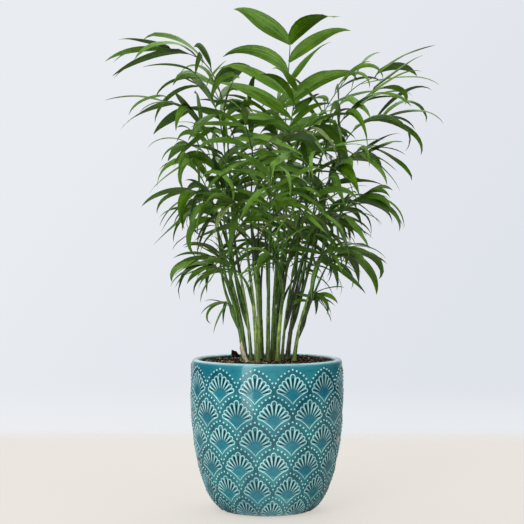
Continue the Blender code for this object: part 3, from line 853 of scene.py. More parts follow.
class Stem:
    """A stem of wrapped leaf bases: its foot, its lean and its taper."""

    def __init__(self, number):
        spread = math.sqrt((number + 0.5) / STEM_COUNT)
        self.name = f"stem_{number + 1}"
        self.away = direction(number * GOLDEN_ANGLE)
        self.foot = self.away * CLUMP_RADIUS * spread + UP * (MIX_TOP + CLEARANCE)
        self.height = STEM_TALLEST + (STEM_SHORTEST - STEM_TALLEST) * spread * spread
        self.run = self.height * math.tan(STEM_LEAN * spread)
        self.leaf_bases = list(range(LEAF_BASES_PER_STEM))

    def point(self, share):
        """A point on the axis. The foot rises upright."""
        lean = (1 - STEM_BEND) * share + STEM_BEND * share * share
        return self.foot + self.away * self.run * lean + UP * self.height * share

    def radius(self, share):
        flare = STEM_FLARE * math.exp(-share * self.height / STEM_FLARE_HEIGHT)
        return STEM_RADIUS + (STEM_TIP_RADIUS - STEM_RADIUS) * share + flare

    def growth(self, share):
        """The way the stem points."""
        return (self.point(share + NEARBY) - self.point(share - NEARBY)).normalized()

    def leaf_base(self, order, azimuth):
        """Where a stalk starts, and which way: the youngest at the tip, the older ones on the side below."""
        if order == 0:
            return self.point(1) + self.growth(1) * CLEARANCE, self.growth(1)
        share = 1 - LEAF_BASE_STEP * order
        growth = self.growth(share)
        side = direction(azimuth)
        side = (side - growth * side.dot(growth)).normalized()
        way = growth * math.cos(STALK_ANGLE) + side * math.sin(STALK_ANGLE)
        inwards = max(-corner.dot(side) for corner in ring(Vector(), way, STALK_RADIUS, RIB_SIDES))
        return self.point(share) + side * (self.radius(share) + inwards + CLEARANCE), way

    def sections(self):
        """The plain stem, as rings of points."""
        ways = [UP, UP, *[self.growth(share) for share in STEM_SECTIONS[2:]]]
        places = zip(STEM_SECTIONS, ways)
        return [ring(self.point(share), way, self.radius(share), STEM_SIDES) for share, way in places]

    def cane(self):
        """The stem as it looks: sheath after sheath, ribbed, with a domed tip."""
        draw = random.Random(self.name)
        ends = [draw.uniform(*RING_SPACING)]
        while ends[-1] < self.height:
            ends.append(ends[-1] + draw.uniform(*RING_SPACING))
        spin, slimmer = draw.uniform(0, math.tau), draw.uniform(*CANE_SLIMMER)
        turns = evenly(0, RIBS_ROUND * math.tau, CANE_SIDES)[:-1]
        ribs = [1 + RIBBING * math.cos(turn + spin) for turn in turns]
        rings = []
        for run in evenly(-CANE_SUNK, self.height, round((self.height + CANE_SUNK) / CANE_STEP)):
            share = run / self.height
            above = min((end - run for end in ends if end >= run), default=0)
            sheath = RING_RISE * (math.exp(-above / RING_FADE) + SHEATH_RISE * math.exp(-above / SHEATH_FADE))
            dome = math.sqrt(max(DOME_LEAST, 1 - max(0, (run - self.height) / DOME_HEIGHT + 1) ** 2))
            radius = (slimmer * self.radius(max(share, 0)) + sheath) * dome
            centre = self.point(share)
            plain = ring(centre, self.growth(max(share, 0)), 1, CANE_SIDES)
            rings.append([centre + (point - centre) * radius * rib for point, rib in zip(plain, ribs)])
        return rings


def plant_skin(name, dark, light, browned=0.85):
    """Smooth living skin, streaked along its length between two tones, and brown in places above the mix."""
    made, place = finish(name, Specular_IOR_Level=0.35)
    stretched = place.node("ShaderNodeVectorMath", {0: place, 1: STREAK}, operation="MULTIPLY")
    streaks = stretched.grain(1, 4, 0.5)
    blotches = place.grain(BLOTCH_GRAIN, 3)
    colour = (streaks * 0.65 + blotches * 0.35).rise(0.40, 0.60).tint(dark, light)
    old = (1 - place.part(2).rise(MIX_TOP, MIX_TOP + BROWN_HEIGHT)) * browned
    old = old * (blotches * 0.6 + streaks * 0.4).rise(0.40, 0.58)
    feed(
        made,
        Base_Color=old.tint(colour, SHEATH_BROWN),
        Roughness=streaks * 0.25 + 0.22,
        Normal=streaks.bump(0.35, 0.4 * MM),
    )
    return made


def rolled_piece(name, tubes, material, crease=None):
    """One piece of many tubes, each given as its rings of points."""
    made = bmesh.new()
    for rings in tubes:
        rolled(made, rings)
    bmesh.ops.recalc_face_normals(made, faces=made.faces)
    return add_piece(name, made, material, crease=crease)


stems = [Stem(number) for number in range(STEM_COUNT)]
for tone, (name, colours) in enumerate(CANE_TONES.items()):
    members = [stem for stem, order in zip(stems, CANE_ORDER) if order == tone]
    canes = rolled_piece(name, [stem.cane() for stem in members], plant_skin(name, *colours))
    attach(canes, "root")
    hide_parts(*[stem.name for stem in members])

# The husk. One dry, papery leaf sheath that has come loose stands in the mix beside a cane on the left,
# rolled inwards and torn to a point.
HUSK_FOOT = Vector((-0.0210, -0.026, MIX_TOP - 0.002))
HUSK_TIP = Vector((-0.0275, -0.028, MIX_TOP + 0.025))
HUSK_BOW = Vector((-3 * MM, 0, 0))  # halfway up
HUSK_FACING = math.radians(-115)
HUSK_RADIUS = 3.2 * MM
HUSK_WIDENING = (0.75, 1.25)  # of its radius, from its foot to its tip
HUSK_UNEVEN = (0.95, 1.05)
HUSK_OPENING = 1.5  # radians to either side that it covers at its foot
HUSK_TIP_OPENING = 0.05
HUSK_TEARING = 2.2  # the power of the way up with which it narrows
HUSK_FRAY = 0.4 * MM
HUSK_FRAY_STEP = 2.1  # radians from one strand to the next
HUSK_THICKNESS = 0.35 * MM
HUSK_STEPS = 14
HUSK_SIDES = 10
HUSK_CREASE = 60
HUSK_TONES = ((0.360, 0.270, 0.160), (0.760, 0.690, 0.520))
HUSK_BROWNED = 0.15

draw = random.Random("husk")
rings = []
for step, share in enumerate(evenly(0, 1, HUSK_STEPS)):
    centre = HUSK_FOOT.lerp(HUSK_TIP, share) + HUSK_BOW * math.sin(math.pi * share)
    opening = HUSK_OPENING * (1 - share**HUSK_TEARING) + HUSK_TIP_OPENING
    radius = HUSK_RADIUS * (HUSK_WIDENING[0] + (HUSK_WIDENING[1] - HUSK_WIDENING[0]) * share)
    radius *= draw.uniform(*HUSK_UNEVEN)
    outer, inner = [], []
    for side, turn in enumerate(evenly(HUSK_FACING - opening, HUSK_FACING + opening, HUSK_SIDES - 1)):
        strand = centre + UP * HUSK_FRAY * math.sin(side * HUSK_FRAY_STEP + step)
        outer.append(strand + direction(turn) * radius)
        inner.append(strand + direction(turn) * (radius - HUSK_THICKNESS))
    rings.append(outer + inner[::-1])
husk_skin = plant_skin("husk", *HUSK_TONES, browned=HUSK_BROWNED)
husk = rolled_piece("husk", [rings], husk_skin, HUSK_CREASE)
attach(husk, "root")
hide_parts("potting_mix")

# The fronds. Each has a bare stalk that clasps its stem, then a grooved rib with leaflets on both sides. The
# ribs and the main leaflets lie where the frame's fronds have them; finer leaflets grow between them.
STALK_SHARE = 0.54  # of the frond's length that is bare
RIB_TIP_RADIUS = 0.85 * MM
STALK_PULL = 0.45  # how far the curve keeps to the stem's direction, as a share of its span
TIP_PULL = 0.33  # and to the tip's pitch
RIB_POINTS = 9
RIB_TURNS = (0, 4, -4, 8, -8, 12, -12, 17, -17, 22, -22)  # degrees about the pot, tried in turn
OUTERMOST_SLOPE = 0.75  # reach over rise of a frond that grows from an outermost stem
SLIMNESS = 6.6  # a leaflet's length over its width, where a frond doesn't say it
FIRST_ANGLE = 54  # degrees from the rib, in the lowest pair
LAST_ANGLE = 22
ANGLE_SCATTER = 10
ROLL_SCATTER = 32
LIFT = (-0.05, 0.50)  # of a leaflet above the frond's plane, before it sags
PAIR_STAGGER = 0.25  # of the distance between pairs
LAST_PLACE = 0.99  # of the rib's length
END_SHORTER = 0.14  # how much the first and last leaflets fall short of the middle ones
END_BROADER = 1.4  # how much broader the last pair is
LENGTH_SCATTER = (0.88, 1.08)
SAG_SCATTER = (0.7, 1.35)
BETWEEN_SLIMMER = 0.82
BETWEEN_SHARE = (0.18, 0.90)  # how many of the leaflets between grow, outside and inside
BETWEEN_SCATTER = 0.12  # of the distance between pairs
BETWEEN_STAGGER = 0.6  # of the main ones'
LEAFLET_THICKNESS = 0.02  # of the length
LEAFLET_ROOT = 0.15  # of its widest section, where it is sunk in the rib
OUTER_SHAPE = ((0.30, 1.0), (0.64, 0.80))  # share of the length, share of the width
INNER_SHAPE = ((0.42, 1.0),)
LEAFLET_TURNS = (0, 10, -10, 20, -20, 32, -32)  # degrees in the frond's plane, tried in turn
LEAFLET_STRETCHES = (1, 0.8)
LEAST_GAP = 0.5 * MM  # between leaflets of different fronds
TIER_REACH = (0.82, 1.12)  # how each frond of a tier differs from the others
TIER_RISE = (0.88, 1.10)
TIER_PITCH = (-16, 20)
TIER_LEAFLET = (0.92, 1.1)
TIER_SAG = (0.7, 1.25)

Frond = namedtuple(
    "Frond",
    "name azimuth reach rise tip_pitch pairs leaflet sag slimness last_angle shape",
    defaults=(SLIMNESS, LAST_ANGLE, OUTER_SHAPE),
)
Leaflet = namedtuple("Leaflet", "rib place root along face length width sag")
Rib = namedtuple("Rib", "frond corners points radii order")


def tier(name, count, rise, reach, azimuths, tip_pitch, pairs, leaflet, sag):
    """Fronds of like height, each drawn a little longer or shorter, higher or lower than the others."""
    draw = random.Random(name)
    return [
        Frond(
            f"{name}_{number + 1}",
            azimuths[number],
            reach * draw.uniform(*TIER_REACH),
            rise * draw.uniform(*TIER_RISE),
            tip_pitch + draw.uniform(*TIER_PITCH),
            pairs,
            leaflet * draw.uniform(*TIER_LEAFLET),
            sag * draw.uniform(*TIER_SAG),
            shape=INNER_SHAPE,
        )
        for number in range(count)
    ]


def fronds():
    """The fronds from the highest to the lowest. Azimuth is in degrees from +X; reach and rise, in mm, are
    those of the rib's tip from the pot's axis and the mix; the rib ends at the tip's pitch in degrees above
    level. Then come the pairs of leaflets, the longest leaflet in mm, how far leaflets sag as a share of
    their length, their length over their width, and the angle of the last pair from the rib."""
    return [
        Frond("top_frond", 64, 64, 380, 82, 5, 100, 0.46, 5.4, 34),
        Frond("left_top_frond", 176, 113, 362, -2, 5, 110, 0.46, 7, 18),
        Frond("right_top_frond", 8, 130, 334, 18, 5, 104, 0.40, 8),
        Frond("centre_frond", -38, 44, 314, 72, 6, 76, 0.22),
        Frond("left_tall_frond", 136, 90, 326, 56, 5, 80, 0.50),
        Frond("right_tall_frond", -18, 126, 308, 30, 6, 98, 0.50, 7),
        Frond("left_high_frond", 192, 118, 300, 10, 6, 88, 0.80),
        Frond("right_high_frond", 14, 142, 286, 4, 6, 98, 0.62, 7),
        *tier("high_frond", 6, 302, 94, (-50, 80, -106, 18, -142, 106), 38, 5, 86, 0.54),
        Frond("left_mid_frond", 166, 94, 254, 20, 6, 78, 0.70),
        Frond("right_mid_frond", -22, 124, 240, 2, 6, 78, 0.8, 6),
        *tier("upper_frond", 7, 232, 108, (-42, 64, -88, 120, 8, -146, 96), 28, 5, 82, 0.62),
        Frond("left_low_frond", 190, 86, 198, 0, 6, 74, 0.88),
        Frond("right_low_frond", -12, 122, 190, -4, 6, 72, 0.75),
        *tier("middle_frond", 7, 180, 100, (-62, 54, -112, 100, 146, 16, -26), 16, 6, 74, 0.68),
        Frond("right_foot_frond", 6, 98, 126, -10, 4, 70, 0.75, 6),
        Frond("left_foot_frond", 174, 72, 112, -6, 4, 68, 0.86, 6.2, 30),
        *tier("lower_frond", 6, 128, 84, (-36, 82, -132, 40, -86, 130), 14, 5, 66, 0.62),
        Frond("right_small_frond", -18, 58, 78, -10, 4, 44, 0.90),
        Frond("left_small_frond", 184, 50, 68, 0, 3, 42, 1.0, 8),
    ]


def skin(sections):
    """Points and faces of the closed solid through rings of points. A ring of one point is a tip."""
    points = [point for section in sections for point in section]
    faces = []
    start = 0
    for section, following in zip(sections, sections[1:]):
        sides = len(section)
        for side in range(sides):
            beside = (side + 1) % sides
            near = [start + side, start + beside]
            if len(following) == 1:
                faces.append((*near, start + sides))
            else:
                faces.append((*near, start + sides + beside, start + sides + side))
        start += sides
    faces.append(tuple(range(len(sections[0])))[::-1])
    if len(sections[-1]) > 1:
        faces.append(tuple(range(start, start + len(sections[-1]))))
    return points, faces


def box_of(points):
    """The lowest and the highest corner of the box round some points."""
    return [[limit(point[axis] for point in points) for axis in range(3)] for limit in (min, max)]


class Thicket:
    """What has grown so far, kept so that what grows later can stay clear of it."""

    def __init__(self):
        self.grown = []

    def add(self, owner, sections):
        """Keeps a solid, given as rings of points."""
        points, faces = skin(sections)
        self.grown.append((owner, *box_of(points), BVHTree.FromPolygons(points, faces)))

    def touches(self, sections, but_not=None):
        """Whether a solid would cross anything here that isn't its owner's."""
        points, faces = skin(sections)
        low, high = box_of(points)
        tree = BVHTree.FromPolygons(points, faces)
        return any(
            owner != but_not
            and all(low[axis] <= other_high[axis] and high[axis] >= other_low[axis] for axis in range(3))
            and tree.overlap(other)
            for owner, other_low, other_high, other in self.grown
        )


def curve(corners, share):
    """A point on the cubic curve of a stalk and its rib."""
    start, first, last, tip = corners
    back = 1 - share
    return start * back**3 + first * 3 * share * back**2 + last * 3 * share**2 * back + tip * share**3


def rib_of(frond, azimuth, start, growth, order):
    """A frond's stalk and rib, as one cubic curve from its leaf base to its tip."""
    outward = direction(azimuth)
    tip = outward * frond.reach * MM + UP * (MIX_TOP + frond.rise * MM)
    pitch = math.radians(frond.tip_pitch)
    ending = outward * math.cos(pitch) + UP * math.sin(pitch)
    span = (tip - start).length
    corners = (start, start + growth * STALK_PULL * span, tip - ending * TIP_PULL * span, tip)
    points = [curve(corners, share) for share in evenly(0, 1, RIB_POINTS - 1)]
    return Rib(frond, corners, points, evenly(STALK_RADIUS, RIB_TIP_RADIUS, RIB_POINTS - 1), order)


def rib_sections(rib, swell=0.0, skipped=0):
    """Three-cornered sections along a rib, swollen to test what it would touch."""
    points = rib.points[skipped:]
    rings = zip(points, headings(points), rib.radii[skipped:])
    return [ring(point, way, radius + swell, RIB_SIDES) for point, way, radius in rings]


def nearest_stem(stems, frond):
    """The stem with a leaf base left whose foot lies nearest to the way that the frond goes. A frond that
    reaches far for its rise grows from the outside of the clump."""
    outwards = min(1, frond.reach / frond.rise / OUTERMOST_SLOPE)
    foot = direction(math.radians(frond.azimuth)) * CLUMP_RADIUS * outwards
    free = [stem for stem in stems if stem.leaf_bases]
    return min(free, key=lambda stem: (stem.foot - foot).xy.length)


def grow_rib(frond, stems, thicket):
    """A rib that starts at a leaf base and touches nothing, turned a little about the pot if need be."""
    stem = nearest_stem(stems, frond)
    order = stem.leaf_bases.pop(0)
    for turn in RIB_TURNS:
        azimuth = math.radians(frond.azimuth + turn)
        rib = rib_of(frond, azimuth, *stem.leaf_base(order, azimuth), order)
        above_its_base = rib_sections(rib, LEAST_GAP, skipped=1)
        whole = rib_sections(rib, LEAST_GAP)
        if not thicket.touches(above_its_base) and not thicket.touches(whole, but_not=stem.name):
            break
    thicket.add(frond.name, rib_sections(rib))
    return rib


def place_on(rib, share):
    """The point at a share of a rib's length, and the way that the rib goes there."""
    place = share * (len(rib.points) - 1)
    before = int(place)
    step = rib.points[before + 1] - rib.points[before]
    return rib.points[before] + step * (place - before), step.normalized()


def leaflet_sections(leaflet, swell=0.0):
    """Three-cornered sections of a keeled blade that sags along its length, up to its pointed tip."""

    def middle(share):
        straight = leaflet.root + leaflet.along * leaflet.length * share
        return straight - UP * leaflet.sag * leaflet.length * share**2

    def section(share, half_width, keel):
        bend = leaflet.along.rotation_difference(leaflet.along - UP * 2 * leaflet.sag * share)
        across = bend @ leaflet.face.cross(leaflet.along).normalized()
        below = across.cross(bend @ leaflet.along)
        centre = middle(share)
        return [
            centre - across * (half_width + swell) - below * swell,
            centre + across * (half_width + swell) - below * swell,
            centre + below * (keel + swell),
        ]

    shape = leaflet.rib.frond.shape
    keel = LEAFLET_THICKNESS * leaflet.length
    body = [section(share, leaflet.width / 2 * wide, keel * wide) for share, wide in shape]
    widest = middle(shape[0][0])
    root = [leaflet.root + (corner - widest) * LEAFLET_ROOT for corner in body[0]]
    return [root, *body, [middle(1)]]


def leaflet_of(rib, forward, side, stagger, draw, broader=1.0):
    """One leaflet so far along the leafy part of the rib, on one side, staggered against its partner."""
    frond = rib.frond
    share = STALK_SHARE + (LAST_PLACE - STALK_SHARE) * (forward + side * stagger)
    root, onward = place_on(rib, share)
    face = (UP - onward * onward.z).normalized()
    across = onward.cross(face) * side
    degrees = FIRST_ANGLE + (frond.last_angle - FIRST_ANGLE) * forward
    angle = math.radians(degrees + draw.uniform(-1, 1) * ANGLE_SCATTER)
    along = onward * math.cos(angle) + across * math.sin(angle) + face * draw.uniform(*LIFT)
    along.normalize()
    roll = Matrix.Rotation(math.radians(draw.uniform(-1, 1) * ROLL_SCATTER), 3, along)
    shorter = END_SHORTER * (2 * forward - 1) ** 2
    length = frond.leaflet * MM * (1 - shorter) * draw.uniform(*LENGTH_SCATTER)
    sag = frond.sag * draw.uniform(*SAG_SCATTER)
    return Leaflet(rib, share, root, along, roll @ face, length, length / frond.slimness * broader, sag)


def main_leaflets(rib, draw):
    """The leaflets that the frame's frond has, from the lowest pair to the pair at the rib's tip."""
    last = rib.frond.pairs - 1
    for pair in range(rib.frond.pairs):
        for side in (-1, 1):
            stagger = 0 if pair in (0, last) else PAIR_STAGGER / last
            yield leaflet_of(rib, pair / last, side, stagger, draw, END_BROADER if pair == last else 1)


def between_leaflets(rib, draw):
    """The finer leaflets between each two of the main ones: few outside, and most of them inside."""
    last = rib.frond.pairs - 1
    stagger = PAIR_STAGGER * BETWEEN_STAGGER / last
    for pair in range(last):
        for side in (-1, 1):
            forward = (pair + 0.5 + draw.uniform(-BETWEEN_SCATTER, BETWEEN_SCATTER)) / last
            leaflet = leaflet_of(rib, forward, side, stagger, draw, BETWEEN_SLIMMER)
            if draw.random() <= BETWEEN_SHARE[rib.frond.shape is INNER_SHAPE]:
                yield leaflet


def grow_leaflet(leaflet, thicket, blades, gap):
    """The leaflet as it can grow clear of its neighbours: turned, shorter, or not at all. The blades of its
    own frond are kept without their roots, which may meet in the rib."""
    name = leaflet.rib.frond.name
    for turn in LEAFLET_TURNS:
        along = Matrix.Rotation(math.radians(turn), 3, leaflet.face) @ leaflet.along
        for stretch in LEAFLET_STRETCHES:
            tried = leaflet._replace(along=along, length=leaflet.length * stretch)
            blade = leaflet_sections(tried)
            swollen = leaflet_sections(tried, gap)
            if not blades.touches(blade[1:]) and not thicket.touches(swollen, but_not=name):
                thicket.add(name, blade)
                blades.add(name, blade[1:])
                return tried
    return None


thicket = Thicket()
for stem in stems:
    thicket.add(stem.name, stem.sections())
ribs = [grow_rib(frond, stems, thicket) for frond in fronds()]
leaflets = []
for drawn_leaflets, seed, gap in ((main_leaflets, "", LEAST_GAP), (between_leaflets, " between", 0)):
    for rib in ribs:
        blades = Thicket()
        for leaflet in drawn_leaflets(rib, random.Random(rib.frond.name + seed)):
            leaflets.append(grow_leaflet(leaflet, thicket, blades, gap))
leaflets = [leaflet for leaflet in leaflets if leaflet]

# The stalks and ribs. Each stalk clasps its stem with a short sheath, is nearly round, and turns into a rib
# with a shallow groove along its top.
STALK_SIDES = 8
STALK_STEPS = 30
STALK_SLIMMER = 0.86  # than the plain rib of the frame
RIB_TIP_SLIMMER = 0.75  # again, at its tip
BASE_RUN = 26 * MM  # from deep in the stem's side to where the plain stalk starts
TIP_BASE_RUN = 4 * MM  # and from inside the stem's tip
BASE_TAPER = (0.35, 0.80)  # of its thickness there and halfway up
SHEATH_LENGTH = 22 * MM
SHEATH_WIDER = 0.7 * MM
RIB_GROOVE = 0.32
GROOVE_NARROWING = 4  # the power with which it falls off to its sides
LEAST_ACROSS = 0.05  # below which a way is taken as upright
STALK_TONES = {
    "stalks": ((0.032, 0.090, 0.012), (0.105, 0.210, 0.040)),
    "dark_stalks": ((0.016, 0.032, 0.009), (0.056, 0.082, 0.028)),
}
DARK_EVERY = 3  # one stalk in so many is dark


def stalk_rings(rib):
    """Rings of points from the sheath inside the stem to the tip of the rib."""
    start, first = rib.corners[:2]
    lead = (start - first).normalized() * (BASE_RUN if rib.order else TIP_BASE_RUN)
    span = (rib.corners[3] - start).length
    shares = evenly(0, 1, STALK_STEPS)
    path = [start + lead, start + lead / 2, *[curve(rib.corners, share) for share in shares]]
    tapers = [*BASE_TAPER, *[1] * len(shares)]
    rings = []
    for point, way, share, taper in zip(path, headings(path), [0, 0, *shares], tapers):
        radius = STALK_SLIMMER * (STALK_RADIUS + (RIB_TIP_RADIUS * RIB_TIP_SLIMMER - STALK_RADIUS) * share)
        radius = (radius + SHEATH_WIDER * math.exp(-share * span / SHEATH_LENGTH)) * taper
        across = way.cross(UP)
        across = across.normalized() if across.length > LEAST_ACROSS else Vector((1, 0, 0))
        above = across.cross(way)
        corners = []
        for turn in evenly(0, math.tau, STALK_SIDES)[:-1]:
            groove = 1 - RIB_GROOVE * share * max(0, math.sin(turn)) ** GROOVE_NARROWING
            corners.append(point + (across * math.cos(turn) + above * math.sin(turn) * groove) * radius)
        rings.append(corners)
    return rings


for tone, (name, colours) in enumerate(STALK_TONES.items()):
    members = [rib for number, rib in enumerate(ribs) if (number % DARK_EVERY == 1) == tone]
    stalks = rolled_piece(name, [stalk_rings(rib) for rib in members], plant_skin(name, *colours))
    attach(stalks, "root")
    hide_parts(*[rib.frond.name for rib in members])

# The leaflets. Thin, glossy, lance-shaped blades folded a little along a raised middle vein, which arch over
# and twist as they hang. Young ones at the top are a fresh green, and the older ones are darker; lighter
# tones high up and outside and darker ones inside are painted light and shade.
BLADE_STEPS = 11
BLADE_CROWDING = 0.9  # the power that brings its sections closer together towards the tip
BLADE_SECTION = (  # beside the vein and above it, as shares of the half width and the fold
    (-1, -0.86),
    (-0.52, -0.72),
    (0, 0),
    (0.52, -0.72),
    (1, -0.86),
)
BLADE_CORNERS = len(BLADE_SECTION) + 1  # with the one under the vein
BLADE_BLUNT = 0.02  # of its outline, left out at the root
BLADE_FULL = 0.76  # the power that moves its widest place towards the root
BLADE_NARROWING = 0.9
BLADE_FOLD = 0.32  # how far the edges hang below the middle vein, as a share of the half width
BLADE_KEEL = 0.35  # how deep the vein goes below it, as a share of the fold
BLADE_THICKNESS = 0.35 * MM
BLADE_THINNEST = 0.4  # of that, at its ends
BLADE_SHARE = 0.86  # of the plain one's length,
BLADE_LONGER = 0.20  # and longer by this share of its sag
BLADE_SLIMMER = (0.78, 0.59)  # than the plain one, outside and inside
SLIMMER_SCATTER = (0.85, 1.15)
BROADEST = 6.3  # length over width below which plain leaflets stay nearly as broad
BROADEST_SLIMMER = 0.92
WAYWARD = (11, 24)  # degrees by which a blade strays from the plain one, as it scatters, outside and inside
DROOP = (0.4, 2.0)  # of a blade, beside the plain one's
STIFF_PITCH = 75  # degrees above level of a young rib's tip, whose blades are stiffer
STIFF_DROOP = (0.1, 1.1)
UPRIGHT_LEAN = 0.6  # how far a blade that points up falls forwards
CURLING = (0.1, 1.2)  # the power of the way along a blade with which it turns down
TIP_HOOK = (0.0, 0.9)  # radians by which its outer half turns down further
TWIST = 46  # degrees from root to tip, as it scatters
TWISTING = 1.5  # the power of the way along with which it comes
SICKLE = 0.07  # how far a blade bows sideways, as a share of its length
REACH_SPARE = 6 * MM  # how far a blade may reach beyond the frame's box
BLADE_COLUMNS = (0.0, 0.24, 0.5, 0.76, 1.0, 1.5)  # where a section's corners lie across the blade's map
BLADE_CREASE = 75
BLADE_TONES = {
    "fresh_leaflets": ((0.032, 0.097, 0.001), (0.102, 0.222, 0.004)),
    "green_leaflets": ((0.056, 0.144, 0.009), (0.144, 0.284, 0.034)),
    "deep_leaflets": ((0.024, 0.076, 0.002), (0.078, 0.176, 0.010)),
    "olive_leaflets": ((0.082, 0.122, 0.024), (0.165, 0.215, 0.058)),
    "sea_green_leaflets": ((0.054, 0.106, 0.032), (0.122, 0.202, 0.074)),
}
FRESH_FRONDS = ("top_frond", "centre_frond", "left_top_frond", "right_tall_frond", "left_foot_frond")
HIGH_UP = 0.36  # metres above the ground, above which leaflets take lighter tones as painted light
GREYISH_SHARE = 0.15  # of the leaflets that aren't young: sea green or olive
SEA_GREEN_SHARE = 0.08
LIGHT_SHARE = (0.15, 0.5, 0.2)  # fresh or green: of all, and how many more of the young ones, and high up as painted light
FRESH_SHARE = 0.6  # of the light ones
GREEN_SHARE = (0.45, 0.3)  # of the others, and how many more of them high up, as painted light
VEIN_COUNT = 5
MIDDLE_VEIN = 0.07  # how far it reaches to either side, as a share of the width
LEAF_STREAKS = (9, 40)  # across a blade, and a metre along it
LEAF_BLOTCHES = 60  # a metre


def blade_points(leaflet, draw):
    """A leaflet's fine blade along the line of the plain one: six points a section, and its tip."""
    rib, frond = leaflet.rib, leaflet.rib.frond
    inner = frond.shape is INNER_SHAPE
    level_across = leaflet.face.cross(leaflet.along).normalized()
    stray = Matrix.Rotation(math.radians(draw.gauss(0, WAYWARD[inner])), 3, level_across)
    stray = stray @ Matrix.Rotation(math.radians(draw.gauss(0, WAYWARD[inner])), 3, leaflet.face)
    along = stray @ leaflet.along
    droops = STIFF_DROOP if frond.tip_pitch > STIFF_PITCH else DROOP
    fallen = along - UP * leaflet.sag * draw.uniform(*droops)
    fallen += Vector((along.x, along.y, 0)).normalized() * UPRIGHT_LEAN * max(0, along.z) ** 2
    curling, hook = draw.uniform(*CURLING), draw.uniform(*TIP_HOOK)
    axis, droop = along.cross(fallen).normalized(), along.angle(fallen) * (1 + curling)
    twist = math.radians(draw.gauss(0, TWIST))
    length = leaflet.length * (BLADE_SHARE + BLADE_LONGER * leaflet.sag)
    sickle = draw.uniform(-1, 1) * SICKLE * length
    slimmer = BLADE_SLIMMER[inner] * draw.uniform(*SLIMMER_SCATTER)
    if frond.slimness < BROADEST:
        slimmer = BROADEST_SLIMMER
    root = curve(rib.corners, leaflet.place)
    shares = [share**BLADE_CROWDING for share in evenly(0, 1, BLADE_STEPS)]
    points, middle = [], root
    for share, following in zip(shares, shares[1:]):
        bend = Matrix.Rotation(droop * share**curling + hook * max(0, 2 * share - 1) ** 2, 3, axis)
        way = bend @ along
        across = Matrix.Rotation(twist * share**TWISTING, 3, way) @ (bend @ level_across)
        above = way.cross(across)
        if above.dot(leaflet.face) < 0:
            above = -above
        turn = math.pi * (BLADE_BLUNT + (1 - BLADE_BLUNT) * share) ** BLADE_FULL
        outline = math.sin(turn) ** BLADE_NARROWING
        half = leaflet.width / 2 * slimmer * max(outline, LEAFLET_ROOT)
        fold = BLADE_FOLD * half
        thick = BLADE_THICKNESS * (BLADE_THINNEST + (1 - BLADE_THINNEST) * outline)
        centre = middle + level_across * sickle * math.sin(math.pi * share)
        for beside, rise in BLADE_SECTION:
            height = fold * rise + thick * (1 - abs(beside)) / 2
            points.append(centre + across * half * beside + above * height)
        points.append(centre - above * (fold * BLADE_KEEL + thick))
        middle = middle + way * length * (following - share)
    return held_in(np.array([*points, middle]), np.array(root))


def held_in(points, root):
    """A blade's points, drawn towards its root as far as it takes to stay within the frame's reach."""
    low, high = np.array(solid_box) + [[-REACH_SPARE], [REACH_SPARE]]
    above = (points.max(0) - high) / (points.max(0) - root)
    below = (low - points.min(0)) / (root - points.min(0))
    return root + (points - root) * (1 - max(0, *above, *below))


def blade_tone(leaflet, draw):
    """Which tone a leaflet has: fresher in the young fronds, and lighter high up and outside, deeper low
    down and inside, as painted light and shade.
    """
    young = leaflet.rib.frond.name in FRESH_FRONDS
    high = leaflet.root.z > HIGH_UP
    pick = draw.random()
    if not young and pick < GREYISH_SHARE:
        return "sea_green_leaflets" if pick < SEA_GREEN_SHARE else "olive_leaflets"
    # Leaflets high up and outside get lighter tones, and those low down and inside deeper ones: painted light
    # and shade.
    of_all, of_young, painted_light_high_share = LIGHT_SHARE
    outside = math.hypot(leaflet.root.x, leaflet.root.y)
    if draw.random() < of_all + of_young * young + painted_light_high_share * high + outside:
        return "fresh_leaflets" if draw.random() < FRESH_SHARE else "green_leaflets"
    return "green_leaflets" if draw.random() < GREEN_SHARE[0] + GREEN_SHARE[1] * high else "deep_leaflets"


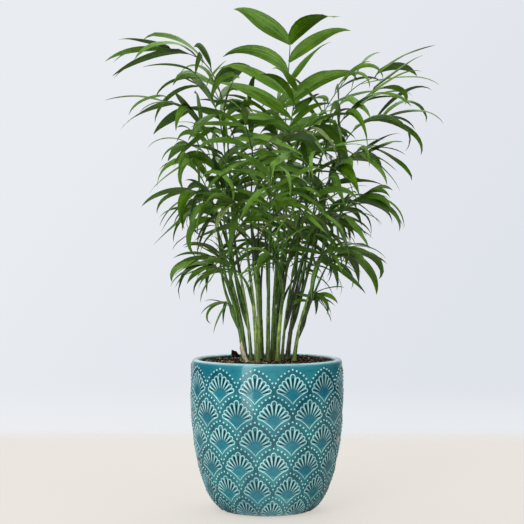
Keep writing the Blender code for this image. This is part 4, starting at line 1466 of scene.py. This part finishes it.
def leaf_skin(name, dark, light):
    """A leaflet's glossy skin: fine lengthwise veins, a paler middle vein and faint blotches."""
    made, place = finish(name, Specular_IOR_Level=0.22)
    across = place.node("ShaderNodeUVMap", uv_map="blade").part(0)
    veins = (across * (math.tau * VEIN_COUNT)).maths("SINE") * 0.5 + 0.5
    middle = 1 - (across - 0.5).size().rise(0, MIDDLE_VEIN)
    blotches = place.grain(LEAF_BLOTCHES, 4, 0.6)
    beside, onward = LEAF_STREAKS
    drawn_out = {0: across * beside, 1: place.part(0) * onward, 2: place.part(2) * onward}
    streaks = place.node("ShaderNodeCombineXYZ", drawn_out).grain(1, 3, 0.6)
    tone = blotches.rise(0.30, 0.70) * 0.55 + streaks.rise(0.35, 0.65) * 0.4 + veins * 0.1 + middle * 0.3
    feed(
        made,
        Base_Color=tone.tint(dark, light),
        Roughness=blotches * 0.2 + 0.34,
        Normal=(veins * 0.6 + streaks * 0.8 + middle).bump(0.5, 0.6 * MM),
    )
    return made


def map_blades(mesh):
    """A UV map across and along every blade; the underside lies beside the top."""
    layer = mesh.uv_layers.new(name="blade")
    corners = np.empty(len(mesh.loops), np.int32)
    mesh.loops.foreach_get("vertex_index", corners)
    place = corners % (BLADE_STEPS * BLADE_CORNERS + 1)
    across = np.array(BLADE_COLUMNS)[place % BLADE_CORNERS]
    along = place // BLADE_CORNERS / BLADE_STEPS
    layer.data.foreach_set("uv", np.column_stack((across, along)).astype(np.float32).ravel())


blade_faces = skin([range(BLADE_CORNERS)] * BLADE_STEPS + [range(1)])[1]
blades_of_tone = {name: [] for name in BLADE_TONES}
fronds_of_tone = {name: set() for name in BLADE_TONES}
for number, leaflet in enumerate(leaflets):
    draw = random.Random(f"{leaflet.rib.frond.name} {number}")
    tone = blade_tone(leaflet, draw)
    blades_of_tone[tone].append((blade_points(leaflet, draw), blade_faces))
    fronds_of_tone[tone].add(leaflet.rib.frond.name)
for name, colours in BLADE_TONES.items():
    mesh = joined(name, blades_of_tone[name])
    map_blades(mesh)
    blade = add_piece(name, mesh, leaf_skin(name, *colours), crease=BLADE_CREASE)
    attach(blade, "root")
    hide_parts(*sorted(fronds_of_tone[name]))

# The finished palm's box beside that of its solids
sizes = {"solid": [list(corner) for corner in solid_box], "visual": [list(corner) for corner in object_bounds()]}
